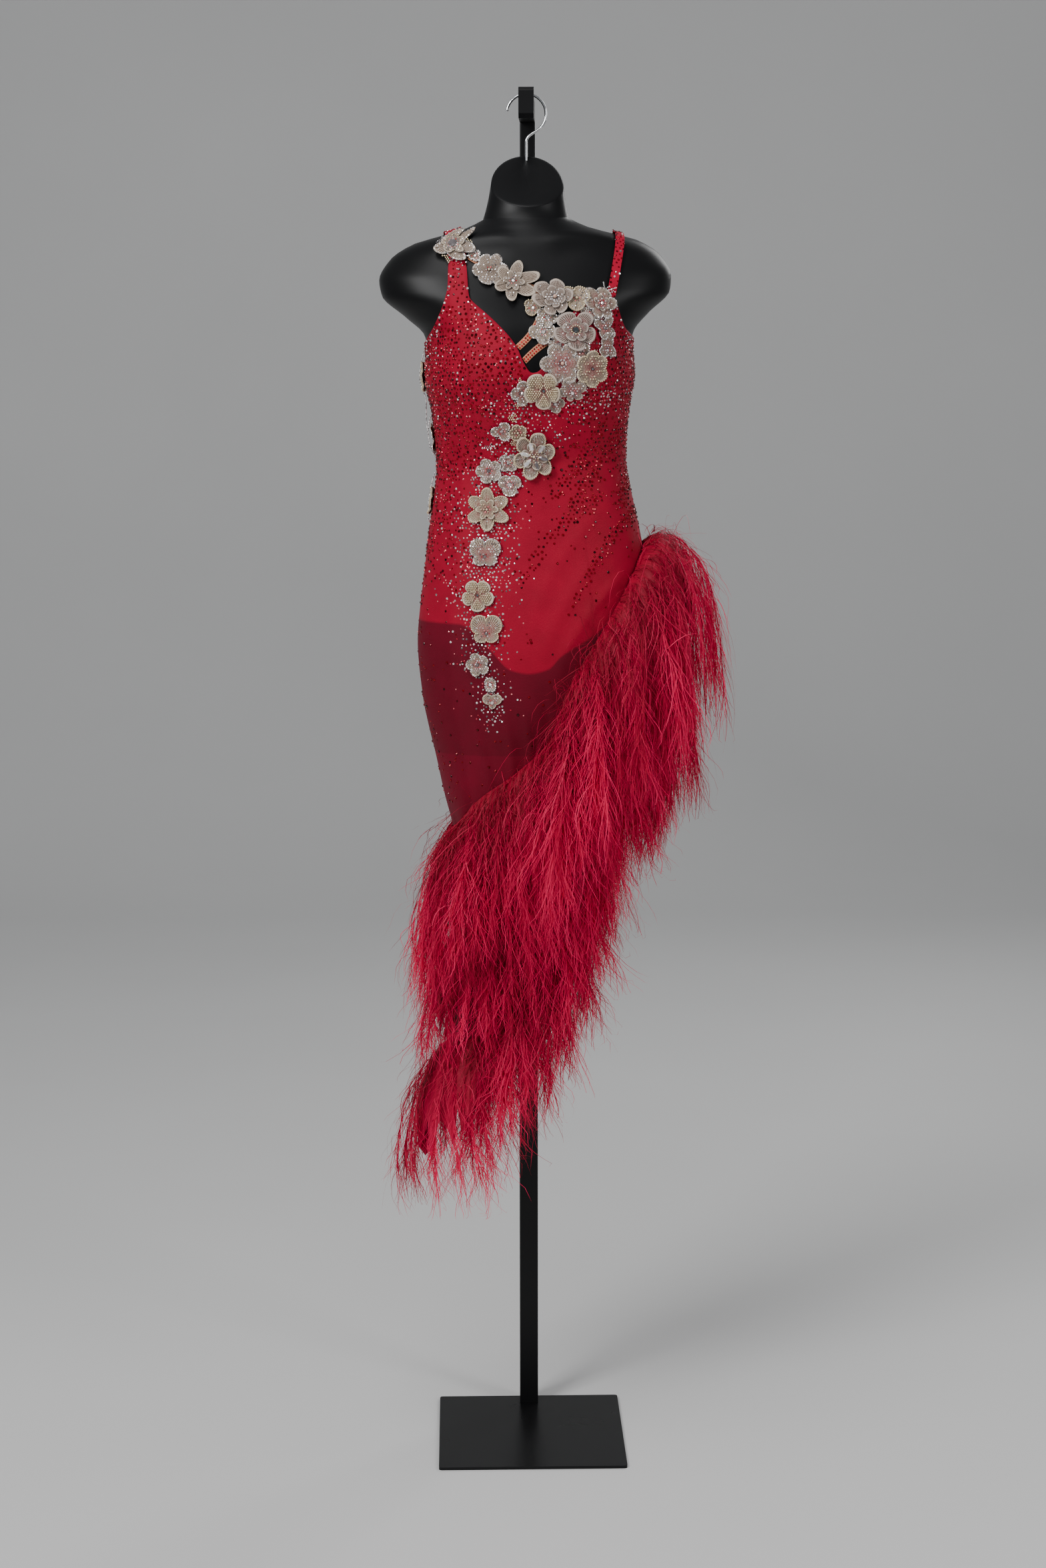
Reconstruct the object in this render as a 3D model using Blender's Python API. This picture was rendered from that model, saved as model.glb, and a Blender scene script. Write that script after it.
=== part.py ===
"""Ballroom dance dress with a feathered hem, on a hanging dress form and its stand.

Metres, +Z up, the front faces -Y, and the origin is under the middle of the base plate.
The form and its cloth are worked out in the form's own frame: its axis is x = y = 0 and
its heights are heights above the floor. An empty at the neck socket then hangs that
frame on the hook, with a slight lean and turn.
"""
import bpy
import bmesh
import numpy as np
from math import cos, pi, radians, sin
from mathutils import Vector
from mathutils.bvhtree import BVHTree

# Stand
PLATE_SIDE = 0.254
PLATE_THICK = 0.004
PLATE_CORNER = 0.004
POLE_Y = 0.110
LOWER_TUBE = 0.0254
UPPER_TUBE = 0.020
SPLICE_HEIGHT = 0.950
COLLAR_WALL = 0.0025
COLLAR_HEIGHT = 0.040
TUBE_TOP = 1.7850
ARM_TURN = radians(-2.6)
ARM_REACH = 0.084
ARM_WIDTH = 0.020
ARM_TOP = 1.8120
LIP_TOP = 1.8250
LIP_DEPTH = 0.010
TOUCH = 0.0003

# Hook of the form, in the arm's frame
HOOK_REACH = 0.070
WIRE = 0.0035
HOOK_RADIUS = 0.0256
HOOK_ARC = (radians(173), radians(-42))
HOOK_BEND = ((0.0135, 0.0215), (0.0070, 0.0252), (0.0025, 0.0290), (0.0, 0.0345), (0.0, 0.0450))
SHANK_END = 1.7056
SOCKET_RADIUS = 0.0024
SOCKET_FLOOR = 1.7050
SOCKET_CUT = 0.060

# How the form hangs
HANG_SHIFT = (-0.0028, -0.046)
HANG_HEIGHT = 1.720
POLE_FACE = 0.103
LEAN = radians(-1.0)
TURN = radians(1.5)

# Body sections, top to bottom. The middle is shifted to +X; square 2 is an ellipse.
SECTION_COLUMNS = ("height", "half", "front", "back", "middle", "square")
SECTIONS = (
    (1.6550, 0.0558, 0.040, 0.055, -0.0010, 2.0),
    (1.6480, 0.0698, 0.046, 0.058, -0.0010, 2.0),
    (1.6415, 0.0864, 0.050, 0.061, -0.0010, 2.0),
    (1.6347, 0.1134, 0.055, 0.064, -0.0015, 2.0),
    (1.6253, 0.1462, 0.061, 0.067, -0.0020, 2.1),
    (1.6064, 0.1750, 0.069, 0.072, -0.0030, 2.3),
    (1.5800, 0.1895, 0.079, 0.077, -0.0035, 2.5),
    (1.5608, 0.1870, 0.085, 0.080, -0.0030, 2.5),
    (1.5323, 0.1575, 0.092, 0.083, -0.0020, 2.4),
    (1.5090, 0.1360, 0.097, 0.084, 0.0000, 2.3),
    (1.4860, 0.1312, 0.099, 0.084, 0.0000, 2.3),
    (1.4572, 0.1330, 0.098, 0.083, 0.0000, 2.3),
    (1.4050, 0.1245, 0.090, 0.077, 0.0000, 2.3),
    (1.3440, 0.1197, 0.080, 0.070, 0.0000, 2.2),
    (1.2830, 0.1283, 0.083, 0.074, 0.0015, 2.2),
    (1.2477, 0.1352, 0.086, 0.079, 0.0020, 2.2),
    (1.1947, 0.1431, 0.091, 0.086, 0.0030, 2.2),
    (1.1598, 0.1484, 0.094, 0.089, 0.0030, 2.2),
    (1.1065, 0.1534, 0.096, 0.090, 0.0030, 2.2),
    (1.0349, 0.1480, 0.092, 0.087, 0.0030, 2.2),
    (0.9990, 0.1417, 0.088, 0.084, 0.0030, 2.2),
    (0.9665, 0.1345, 0.083, 0.080, 0.0030, 2.2),
    (0.9086, 0.1230, 0.075, 0.071, 0.0030, 2.1),
    (0.8449, 0.1070, 0.065, 0.061, 0.0030, 2.0),
    (0.7600, 0.0965, 0.056, 0.052, -0.0120, 2.0),
    (0.6600, 0.0825, 0.047, 0.043, -0.0300, 2.0),
    (0.5500, 0.0640, 0.038, 0.035, -0.0560, 2.0),
)
FORM_BOTTOM = 0.9665
FORM_ROUNDING = 0.006
FORM_SIDES = 36
FORM_STEP = 0.036
FORM_WIDENING = 0.018

# Bust of the general figure
BUST_HEIGHT = 1.462
BUST_APART = 0.066
BUST_DEPTH = 0.022
BUST_SPREAD = (0.042, 0.048)

# Neck, cut off by a plane that faces up and forward
NECK_HALF = 0.0470
NECK_SHIFT = 0.0015
NECK_FRONT = 0.036
NECK_BACK = 0.054
CUT_LOW = 1.669
CUT_HIGH = 1.738
NECK_RINGS = 4
NECK_HOLLOW = 0.018

# Cloth
WALL = 0.0012
BRIEF_WALL = 0.0010
CLOSE_FIT = 0.0030
HIP_FIT = 0.0038
BRIEF_FIT = 0.0012
FIT_CHANGE = (1.33, 1.42)
SEAM = 0.0004
SEWN_GAP = 0.0005
STRIP_GAP = 0.0007
PROBE = 0.015
WAIST = 1.344
EASE_TOP = 1.45
SKIRT_WAVES = 7
WAVE_DEPTH = 0.004

# Upper edge of the front panel from the left seam to the right: a point for each column
FRONT_EDGE = (
    (-0.1400, 1.4970),
    (-0.1322, 1.5010),
    (-0.1300, 1.5060),
    (-0.1265, 1.5140),
    (-0.1178, 1.5310),
    (-0.1105, 1.5490),
    (-0.1052, 1.5680),
    (-0.1040, 1.6030),
    (-0.0926, 1.6030),
    (-0.0812, 1.6030),
    (-0.0800, 1.5560),
    (-0.0760, 1.5500),
    (-0.0534, 1.5295),
    (-0.0334, 1.5084),
    (-0.0215, 1.4918),
    (-0.0135, 1.4715),
    (-0.0051, 1.4590),
    (0.0070, 1.4610),
    (0.0190, 1.4800),
    (0.0260, 1.5020),
    (0.0420, 1.5260),
    (0.0620, 1.5430),
    (0.0820, 1.5500),
    (0.0942, 1.5516),
    (0.1054, 1.5516),
    (0.1115, 1.5290),
    (0.1178, 1.5140),
    (0.1265, 1.5060),
    (0.1317, 1.5010),
    (0.1400, 1.4970),
)
BODICE_ROWS = 10
SKIRT_ROWS = 13

# Open back: height of the edge at the middle and at the side seams
BACK_LOW = 1.3700
BACK_HIGH = 1.4970
BACK_COLUMNS = 19
BACK_ROWS = 4

# Straps over the shoulders: outer and inner edge in front, on the ridge and at the back
LEFT_STRAP = ((-0.1040, -0.1060, -0.1050), (-0.0812, -0.0840, -0.0830))
RIGHT_STRAP = ((0.1054, 0.1230, 0.1060), (0.0942, 0.1120, 0.0950))
STRAP_ROWS = 16
STRAP_FIT = 0.0030
STRAP_SEAM = 0.0010

# Narrow bands across the open front: ends (across, height) and width
BANDS = {
    "chest_band": ((-0.0780, 1.6080), (0.0420, 1.5500), 0.0110),
    "upper_bust_band": ((-0.0190, 1.5010), (0.0080, 1.5300), 0.0080),
    "lower_bust_band": ((-0.0070, 1.4820), (0.0200, 1.5000), 0.0080),
}
BAND_STEPS = 8

# Hem of the cloth and leg line of the brief: across, height
HEM_LINE = ((-0.120, 0.550), (-0.070, 0.580), (-0.035, 0.632), (0.010, 0.715), (0.050, 0.840),
            (0.090, 0.940), (0.150, 1.020))
BRIEF_EDGE = ((-0.155, 1.140), (-0.100, 1.139), (-0.065, 1.110), (-0.036, 1.080), (-0.012, 1.075),
              (0.012, 1.080), (0.028, 1.096), (0.080, 1.128), (0.123, 1.183), (0.155, 1.205))
BRIEF_TOP = 1.325
BRIEF_COLUMNS = 19
BRIEF_ROWS = 6

# Appliques of beaded lace: across, height, radius, petals, depth of the notches, turn, and
# 1 for those that lie over their neighbours
APPLIQUES = {
    "shoulder_flower": (-0.0985, 1.6200, 0.0215, 5, 0.30, 20, 1),
    "band_spray": (-0.0700, 1.6060, 0.0080, 3, 0.30, 0, 0),
    "round_flower": (-0.0530, 1.5884, 0.0205, 6, 0.16, 0, 0),
    "star_flower": (-0.0235, 1.5721, 0.0240, 5, 0.42, 18, 1),
    "link_loops": (0.0010, 1.5400, 0.0090, 3, 0.30, 60, 0),
    "pearl_eye_flower": (0.0285, 1.5500, 0.0228, 6, 0.20, 10, 1),
    "pearl_trefoil": (0.0560, 1.5500, 0.0160, 3, 0.30, 90, 0),
    "crystal_spray": (0.0865, 1.5436, 0.0185, 6, 0.25, 0, 1),
    "oval_flower": (0.0518, 1.5085, 0.0240, 5, 0.22, 90, 1),
    "upper_leaf": (0.0880, 1.5130, 0.0120, 2, 0.40, 60, 0),
    "lower_leaf": (0.0905, 1.4850, 0.0150, 3, 0.35, 30, 0),
    "side_loops": (0.0132, 1.5092, 0.0135, 4, 0.25, 0, 0),
    "cup_flower": (0.0357, 1.4704, 0.0240, 6, 0.25, 0, 0),
    "edged_flower": (0.0702, 1.4632, 0.0218, 6, 0.14, 30, 1),
    "filled_flower": (0.0119, 1.4392, 0.0236, 5, 0.16, 90, 1),
    "flank_petal": (-0.0160, 1.4357, 0.0105, 2, 0.40, 90, 0),
    "small_fan": (0.0475, 1.4320, 0.0135, 4, 0.30, 0, 0),
    "clear_leaf": (-0.0413, 1.3884, 0.0105, 2, 0.35, 0, 0),
    "waist_flower": (-0.0013, 1.3555, 0.0310, 6, 0.38, 15, 0),
    "waist_spray": (-0.0569, 1.3359, 0.0148, 5, 0.22, 0, 0),
    "waist_trefoil": (-0.0319, 1.3174, 0.0122, 3, 0.30, 90, 0),
    "hip_star": (-0.0597, 1.2861, 0.0270, 5, 0.40, 90, 0),
    "hip_fan": (-0.0646, 1.2255, 0.0255, 4, 0.30, 45, 0),
    "hip_flower": (-0.0749, 1.1760, 0.0210, 5, 0.16, 90, 0),
    "lower_fan": (-0.0654, 1.1276, 0.0255, 4, 0.30, 45, 0),
    "lower_spray": (-0.0770, 1.0875, 0.0135, 5, 0.22, 0, 0),
    "small_leaf": (-0.0618, 1.0615, 0.0070, 2, 0.35, 90, 0),
    "end_bell": (-0.0596, 1.0377, 0.0128, 3, 0.30, 90, 0),
}
# Lace on the open back's left side: turn in degrees, height, radius, petals, notches
SIDE_LACE = {
    "side_lace_upper": (-99.0, 1.4560, 0.0200, 6, 0.20),
    "side_lace_middle": (-98.0, 1.3760, 0.0210, 5, 0.22),
    "side_lace_lower": (-99.0, 1.2930, 0.0200, 6, 0.20),
}
LACE_THICK = 0.0016
LACE_CROWN = 0.0012
RIM_PER_PETAL = 4

# Feather strips: line across the front, locks, length and reach on the left and on the right,
# and how far the locks keep from the pole
UPPER_LINE = ((-0.115, 0.848), (-0.080, 0.905), (-0.030, 0.945), (0.010, 0.985), (0.040, 1.060),
              (0.080, 1.125), (0.115, 1.185), (0.150, 1.258))
MIDDLE_LINE = ((-0.120, 0.700), (-0.060, 0.750), (0.000, 0.835), (0.050, 0.935), (0.100, 1.035), (0.150, 1.120))
OVER_HEM = 0.014
LOWER_LINE = tuple((x, z + OVER_HEM) for x, z in HEM_LINE)
STRIPS = {
    "upper_feathers": (UPPER_LINE, 72, (0.225, 0.205), (0.058, 0.100), 0.011),
    "middle_feathers": (MIDDLE_LINE, 56, (0.145, 0.190), (0.045, 0.046), 0.022),
    "hem_feathers": (LOWER_LINE, 48, (0.195, 0.145), (0.080, 0.016), 0.033),
}
STRIP_HEIGHT = 0.010
STRIP_THICK = 0.005
LOCK_SHARES = (0.22, 0.50, 0.80)
LOCK_SIZES = (0.85, 0.80, 0.50)
LOCK_SWAY = 0.012
LOCK_DROP = (1.25, 1.75)
LOCK_RISE = 0.13


def columns(table):
    """The table's columns by height, lowest first."""
    rows = np.array(table)[::-1]
    return {name: rows[:, k] for k, name in enumerate(SECTION_COLUMNS)}


SHAPE = columns(SECTIONS)


def smooth(at, xs, ys):
    """Monotone cubic curve through the points (xs, ys), read at the values in at."""
    step = np.diff(xs)
    slope = np.diff(ys) / step
    product = slope[:-1] * slope[1:]
    safe = np.where(product > 0, slope[:-1] + slope[1:], 1.0)
    tangent = np.concatenate([slope[:1], np.where(product > 0, 2 * product / safe, 0.0), slope[-1:]])
    at = np.clip(at, xs[0], xs[-1])
    k = np.clip(np.searchsorted(xs, at) - 1, 0, len(step) - 1)
    t = (at - xs[k]) / step[k]
    start = (1 + 2 * t) * (1 - t) ** 2 * ys[k] + t * (1 - t) ** 2 * step[k] * tangent[k]
    end = t * t * (3 - 2 * t) * ys[k + 1] - t * t * (1 - t) * step[k] * tangent[k + 1]
    return start + end


def section(name, z):
    return smooth(z, SHAPE["height"], SHAPE[name])


def soft_step(value, low, high):
    t = np.clip((value - low) / (high - low), 0.0, 1.0)
    return t * t * (3 - 2 * t)


def body(turn, z):
    """Point of the body's surface. Turn 0 is the middle front and 90 degrees the +X side."""
    half, middle, power = section("half", z), section("middle", z), 2 / section("square", z)
    across, along = np.sin(turn), np.cos(turn)
    x = half * np.sign(across) * np.abs(across) ** power
    round_off = np.abs(along) ** power
    spread_x, spread_z = BUST_SPREAD
    mounds = sum(np.exp(-0.5 * ((x - side) / spread_x) ** 2) for side in (-BUST_APART, BUST_APART))
    bust = BUST_DEPTH * mounds * np.exp(-0.5 * ((z - BUST_HEIGHT) / spread_z) ** 2)
    front = -(section("front", z) + bust) * round_off
    y = np.where(along > 0, front, section("back", z) * round_off)
    below = soft_step(FORM_BOTTOM - z, 0.0, 0.15)
    wave = 1 + below * WAVE_DEPTH / half * np.cos(SKIRT_WAVES * turn)
    return np.stack(np.broadcast_arrays(middle + x * wave, y * wave, z), axis=-1)


def outward(turn, z):
    """Unit normal of the body's surface."""
    small_turn, small_rise = 0.004, 0.0015
    around = body(turn + small_turn, z) - body(turn - small_turn, z)
    up = body(turn, z + small_rise) - body(turn, z - small_rise)
    normal = np.cross(around, up)
    return normal / np.linalg.norm(normal, axis=-1, keepdims=True)


def layer(turn, z, lift):
    """Point at a distance from the body's surface."""
    return body(turn, z) + outward(turn, z) * np.asarray(lift)[..., None]


def turn_at(x, z, back=False):
    """Turn of the point of the body that lies at x, in front or at the back."""
    ratio = np.clip((x - section("middle", z)) / section("half", z), -1.0, 1.0)
    turn = np.arcsin(np.sign(ratio) * np.abs(ratio) ** (section("square", z) / 2))
    return pi - turn if back else turn


def fit(z):
    """Distance from the body to the dress: wider over the brief."""
    return HIP_FIT + (CLOSE_FIT - HIP_FIT) * soft_step(z, *FIT_CHANGE)


def finish(name, roughness, colour, metallic=0.0):
    material = bpy.data.materials.new(name)
    material.use_nodes = True
    shader = material.node_tree.nodes["Principled BSDF"]
    shader.inputs["Base Color"].default_value = (*colour, 1.0)
    shader.inputs["Roughness"].default_value = roughness
    shader.inputs["Metallic"].default_value = metallic
    return material


def add(name, points, faces, material, parent=None):
    """Object from points and faces, with its faces turned out."""
    mesh = bpy.data.meshes.new(name)
    mesh.from_pydata(np.asarray(points).tolist(), [], [list(map(int, face)) for face in faces])
    shell = bmesh.new()
    shell.from_mesh(mesh)
    bmesh.ops.recalc_face_normals(shell, faces=shell.faces)
    shell.to_mesh(mesh)
    shell.free()
    mesh.shade_smooth()
    mesh.set_sharp_from_angle(angle=radians(40))
    mesh.materials.append(material)
    piece = bpy.data.objects.new(name, mesh)
    bpy.context.scene.collection.objects.link(piece)
    piece.parent = parent
    return piece


def wall(name, inner, outer, material, parent):
    """Closed sheet between two grids of points, each rows by columns."""
    rows, cols = inner.shape[:2]
    count = rows * cols
    grid = np.arange(count).reshape(rows, cols)
    quads = np.stack([grid[:-1, :-1], grid[1:, :-1], grid[1:, 1:], grid[:-1, 1:]], axis=-1).reshape(-1, 4)
    rim = np.concatenate([grid[0, :-1], grid[:-1, -1], grid[-1, :0:-1], grid[:0:-1, 0]])
    ahead = np.roll(rim, -1)
    edge = np.stack([rim, ahead, ahead + count, rim + count], axis=-1)
    faces = np.concatenate([quads, quads[:, ::-1] + count, edge])
    points = np.concatenate([outer.reshape(-1, 3), inner.reshape(-1, 3)])
    return add(name, points, faces, material, parent)


def block(name, low, high, corner, material, parent=None):
    """Box between two corners with its upright edges rounded."""
    mesh = bpy.data.meshes.new(name)
    shell = bmesh.new()
    bmesh.ops.create_cube(shell, size=1.0)
    low, high = np.array(low), np.array(high)
    for vertex in shell.verts:
        vertex.co = (low + high) / 2 + np.array(vertex.co) * (high - low)
    upright = [e for e in shell.edges if abs(e.verts[0].co.z - e.verts[1].co.z) > 1e-4]
    bmesh.ops.bevel(shell, geom=upright, offset=corner, segments=3, profile=0.5, affect="EDGES")
    shell.to_mesh(mesh)
    shell.free()
    mesh.materials.append(material)
    piece = bpy.data.objects.new(name, mesh)
    bpy.context.scene.collection.objects.link(piece)
    piece.parent = parent
    return piece


def empty(name, location, rotation):
    frame = bpy.data.objects.new(name, None)
    frame.location = location
    frame.rotation_euler = rotation
    bpy.context.scene.collection.objects.link(frame)
    return frame


def faces_of(pieces):
    """Search tree of all faces of pieces that share the body's frame."""
    points, faces = [], []
    for piece in pieces:
        start = len(points)
        points += [vertex.co.copy() for vertex in piece.data.vertices]
        faces += [[start + v for v in face.vertices] for face in piece.data.polygons]
    return BVHTree.FromPolygons(points, faces)


def height_over(tree, point, normal):
    """How far a point lies over the first face under it along the normal."""
    start = Vector(point) + Vector(normal) * PROBE
    distance = tree.ray_cast(start, -Vector(normal), 4 * PROBE)[3]
    return np.inf if distance is None else distance - PROBE


def sewn_on(grids, samples, normal, under):
    """Grids of points moved along the normal until the samples lie just over what is under them."""
    tree = faces_of(under)
    drop = min(height_over(tree, sample, normal) for sample in samples) - SEWN_GAP
    return [grid - drop * normal for grid in grids]


def make_stand(black_steel, gloss_black):
    half = PLATE_SIDE / 2
    block("base_plate", (-half, -half, 0), (half, half, PLATE_THICK), PLATE_CORNER, gloss_black)
    low, high = LOWER_TUBE / 2, UPPER_TUBE / 2
    block("lower_pole", (-low, POLE_Y - low, PLATE_THICK + TOUCH), (low, POLE_Y + low, SPLICE_HEIGHT),
          0.0015, black_steel)
    block("upper_pole", (-high, POLE_Y - high, SPLICE_HEIGHT + TOUCH), (high, POLE_Y + high, TUBE_TOP),
          0.0015, black_steel)
    make_collar(black_steel)


def make_collar(material):
    """Square sleeve over the splice: its bore steps from the lower tube to the upper one."""
    levels = (
        (SPLICE_HEIGHT - COLLAR_HEIGHT / 2, LOWER_TUBE / 2 + TOUCH),
        (SPLICE_HEIGHT + TOUCH, LOWER_TUBE / 2 + TOUCH),
        (SPLICE_HEIGHT + TOUCH, UPPER_TUBE / 2 + TOUCH),
        (SPLICE_HEIGHT + COLLAR_HEIGHT / 2, UPPER_TUBE / 2 + TOUCH),
        (SPLICE_HEIGHT + COLLAR_HEIGHT / 2, LOWER_TUBE / 2 + COLLAR_WALL),
        (SPLICE_HEIGHT - COLLAR_HEIGHT / 2, LOWER_TUBE / 2 + COLLAR_WALL),
    )
    corners = np.array([(1, 1), (-1, 1), (-1, -1), (1, -1)])
    points = [(x * r, POLE_Y + y * r, z) for z, r in levels for x, y in corners]
    count = len(levels)
    faces = [(4 * k + c, 4 * k + (c + 1) % 4, 4 * ((k + 1) % count) + (c + 1) % 4, 4 * ((k + 1) % count) + c)
             for k in range(count) for c in range(4)]
    piece = add("pole_collar", points, faces, material)
    piece.data.shade_flat()


def make_arm(head, material):
    """Arm with an upturned lip: a side outline across its width."""
    half = ARM_WIDTH / 2
    back = UPPER_TUBE / 2
    front = -ARM_REACH
    round_top = [(front + LIP_DEPTH / 2 * (1 - cos(a)), LIP_TOP - LIP_DEPTH / 2 * (1 - sin(a)))
                 for a in np.linspace(0, pi, 7)]
    bottom = TUBE_TOP + TOUCH
    outline = [(back, bottom), (front + 0.006, bottom), (front, bottom + 0.006), *round_top,
               (front + LIP_DEPTH, ARM_TOP), (back, ARM_TOP)]
    count = len(outline)
    points = [(x, y, z) for x in (-half, half) for y, z in outline]
    sides = [(k, (k + 1) % count, (k + 1) % count + count, k + count) for k in range(count)]
    piece = add("stand_arm", points, [*sides, range(count), range(2 * count - 1, count - 1, -1)], material, head)
    piece.data.shade_flat()


def make_hook(head, material):
    """Hanger hook of one wire: a turn that rests on the arm's two edges, a bend and a straight shank."""
    inside = HOOK_RADIUS - WIRE / 2
    centre = ARM_TOP + 2 * TOUCH - (inside ** 2 - (ARM_WIDTH / 2) ** 2) ** 0.5
    turns = np.linspace(*HOOK_ARC, 17)
    arc = [(HOOK_RADIUS * cos(a), centre + HOOK_RADIUS * sin(a)) for a in turns]
    bend = [(x, centre - drop) for x, drop in HOOK_BEND]
    shank = [(0.0, SHANK_END)]
    curve = bpy.data.curves.new("hanger_hook", "CURVE")
    curve.dimensions = "3D"
    curve.bevel_depth = WIRE / 2
    curve.bevel_resolution = 2
    curve.use_fill_caps = True
    route = arc + bend + shank
    spline = curve.splines.new("POLY")
    spline.points.add(len(route) - 1)
    for point, (x, z) in zip(spline.points, route):
        point.co = (x, -HOOK_REACH, z, 1)
    curve.materials.append(material)
    piece = bpy.data.objects.new("hanger_hook", curve)
    bpy.context.scene.collection.objects.link(piece)
    piece.parent = head


def ring_heights(levels):
    """The levels from the rounded foot up, with more where the body widens fast."""
    levels = np.concatenate([[FORM_BOTTOM + FORM_ROUNDING], levels])
    heights = [levels[0]]
    for low, high in zip(levels[:-1], levels[1:]):
        widening = abs(section("half", high) - section("half", low))
        parts = int(np.ceil(max((high - low) / FORM_STEP, widening / FORM_WIDENING)))
        heights.extend(np.linspace(low, high, parts + 1)[1:])
    return np.array(heights)


def make_form(hang, material):
    """Closed body from a rounded foot through the sections to the slanted cut of the neck."""
    turns = np.linspace(0, 2 * pi, FORM_SIDES, endpoint=False)
    heights = ring_heights(SHAPE["height"][SHAPE["height"] > FORM_BOTTOM + 0.01])
    foot = layer(turns, np.full(FORM_SIDES, FORM_BOTTOM + FORM_ROUNDING), np.full(FORM_SIDES, -FORM_ROUNDING))
    foot[:, 2] = FORM_BOTTOM
    rings = [foot, *(body(turns, np.full(FORM_SIDES, z)) for z in heights)]
    base = rings[-1]
    slope = (CUT_HIGH - CUT_LOW) / (NECK_FRONT + NECK_BACK)
    depth = np.where(np.cos(turns) > 0, -NECK_FRONT, -NECK_BACK)
    top_x, top_y = NECK_HALF * np.sin(turns) + NECK_SHIFT, depth * np.cos(turns)
    top = np.stack([top_x, top_y, CUT_LOW + slope * (top_y + NECK_FRONT)], axis=-1)
    for k in range(1, NECK_RINGS + 1):
        share = k / NECK_RINGS
        ring = base + (top - base) * share
        ring[:, :2] = ring[:, :2] * (1 - NECK_HOLLOW * sin(pi * share))
        rings.append(ring)
    points = np.concatenate(rings)
    count = len(rings)
    grid = np.arange(count * FORM_SIDES).reshape(count, FORM_SIDES)
    ahead = np.roll(grid, -1, axis=1)
    sides = np.stack([grid[:-1], ahead[:-1], ahead[1:], grid[1:]], axis=-1).reshape(-1, 4)
    form = add("dress_form", points, [*sides, grid[0][::-1], grid[-1]], material, hang)
    cut_socket(form, hang)
    return form


def cut_socket(form, hang):
    """Upright bore in the head that the shank of the hook stands in."""
    cutter_mesh = bpy.data.meshes.new("socket_cutter")
    shell = bmesh.new()
    bmesh.ops.create_cone(shell, cap_ends=True, segments=12, radius1=SOCKET_RADIUS,
                          radius2=SOCKET_RADIUS, depth=SOCKET_CUT)
    shell.to_mesh(cutter_mesh)
    shell.free()
    cutter = bpy.data.objects.new("socket_cutter", cutter_mesh)
    cutter.location = (-HANG_SHIFT[0], -HANG_SHIFT[1], SOCKET_FLOOR + SOCKET_CUT / 2)
    cutter.hide_render = True
    cutter.display_type = "WIRE"
    bpy.context.scene.collection.objects.link(cutter)
    cutter.parent = hang
    cut = form.modifiers.new("socket", "BOOLEAN")
    cut.object = cutter
    cut.solver = "EXACT"


def line_height(line, x):
    table = np.array(line)
    return smooth(x, table[:, 0], table[:, 1])


def reach_line(turn, line):
    """Height at which the body at each turn meets a line drawn across the front."""
    z = np.full(np.shape(turn), 0.9)
    for _ in range(40):
        z = z + 0.5 * (line_height(line, body(turn, z)[..., 0]) - z)
    return z


def skirt_shares():
    """How far each row of the skirt is from the waist to the hem: closer together over the hips."""
    return np.linspace(0, 1, SKIRT_ROWS + 1)[1:, None] ** 1.35


def panel_rows(top, bottom):
    """Heights of a panel's rows for each column: edge to waist, then waist to hem."""
    upper = np.linspace(0, 1, BODICE_ROWS + 1)[:, None]
    return np.concatenate([top + (WAIST - top) * upper, WAIST + (bottom - WAIST) * skirt_shares()])


def make_front(hang, material):
    """Front panel: the columns follow the edge's points in the bodice and fan out evenly at the waist."""
    edge = np.array(FRONT_EDGE)
    even = np.linspace(-pi / 2, pi / 2, len(edge))
    z = panel_rows(edge[:, 1], reach_line(even, HEM_LINE))
    shaped = turn_at(edge[:, 0][None, :] + 0 * z, z)
    shaped[:, 0], shaped[:, -1] = -pi / 2, pi / 2
    share = soft_step(z, WAIST, EASE_TOP)
    turn = even + (shaped - even) * share
    lift = fit(z)
    shift = np.array([0, -SEAM / 2, 0])
    return wall("dress_front", layer(turn, z, lift) + shift, layer(turn, z, lift + WALL) + shift, material, hang)


def back_edge(turn):
    """Height of the open back's edge: lowest in the middle."""
    return BACK_LOW + (BACK_HIGH - BACK_LOW) * np.abs(np.sin(turn)) ** 3


def make_back(hang, material):
    turns = np.linspace(pi / 2, 3 * pi / 2, BACK_COLUMNS)
    upper = np.linspace(0, 1, BACK_ROWS + 1)[:, None]
    top, bottom = back_edge(turns), reach_line(turns, HEM_LINE)
    z = np.concatenate([top + (WAIST - top) * upper, WAIST + (bottom - WAIST) * skirt_shares()])
    turn = turns + 0 * z
    lift = fit(z)
    shift = np.array([0, SEAM / 2, 0])
    return wall("dress_back", layer(turn, z, lift) + shift, layer(turn, z, lift + WALL) + shift, material, hang)


def ridge(x):
    """Height at which the shoulder's ridge passes x."""
    heights = np.linspace(1.600, 1.655, 400)
    return np.interp(-np.abs(x), -section("half", heights), heights)


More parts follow.
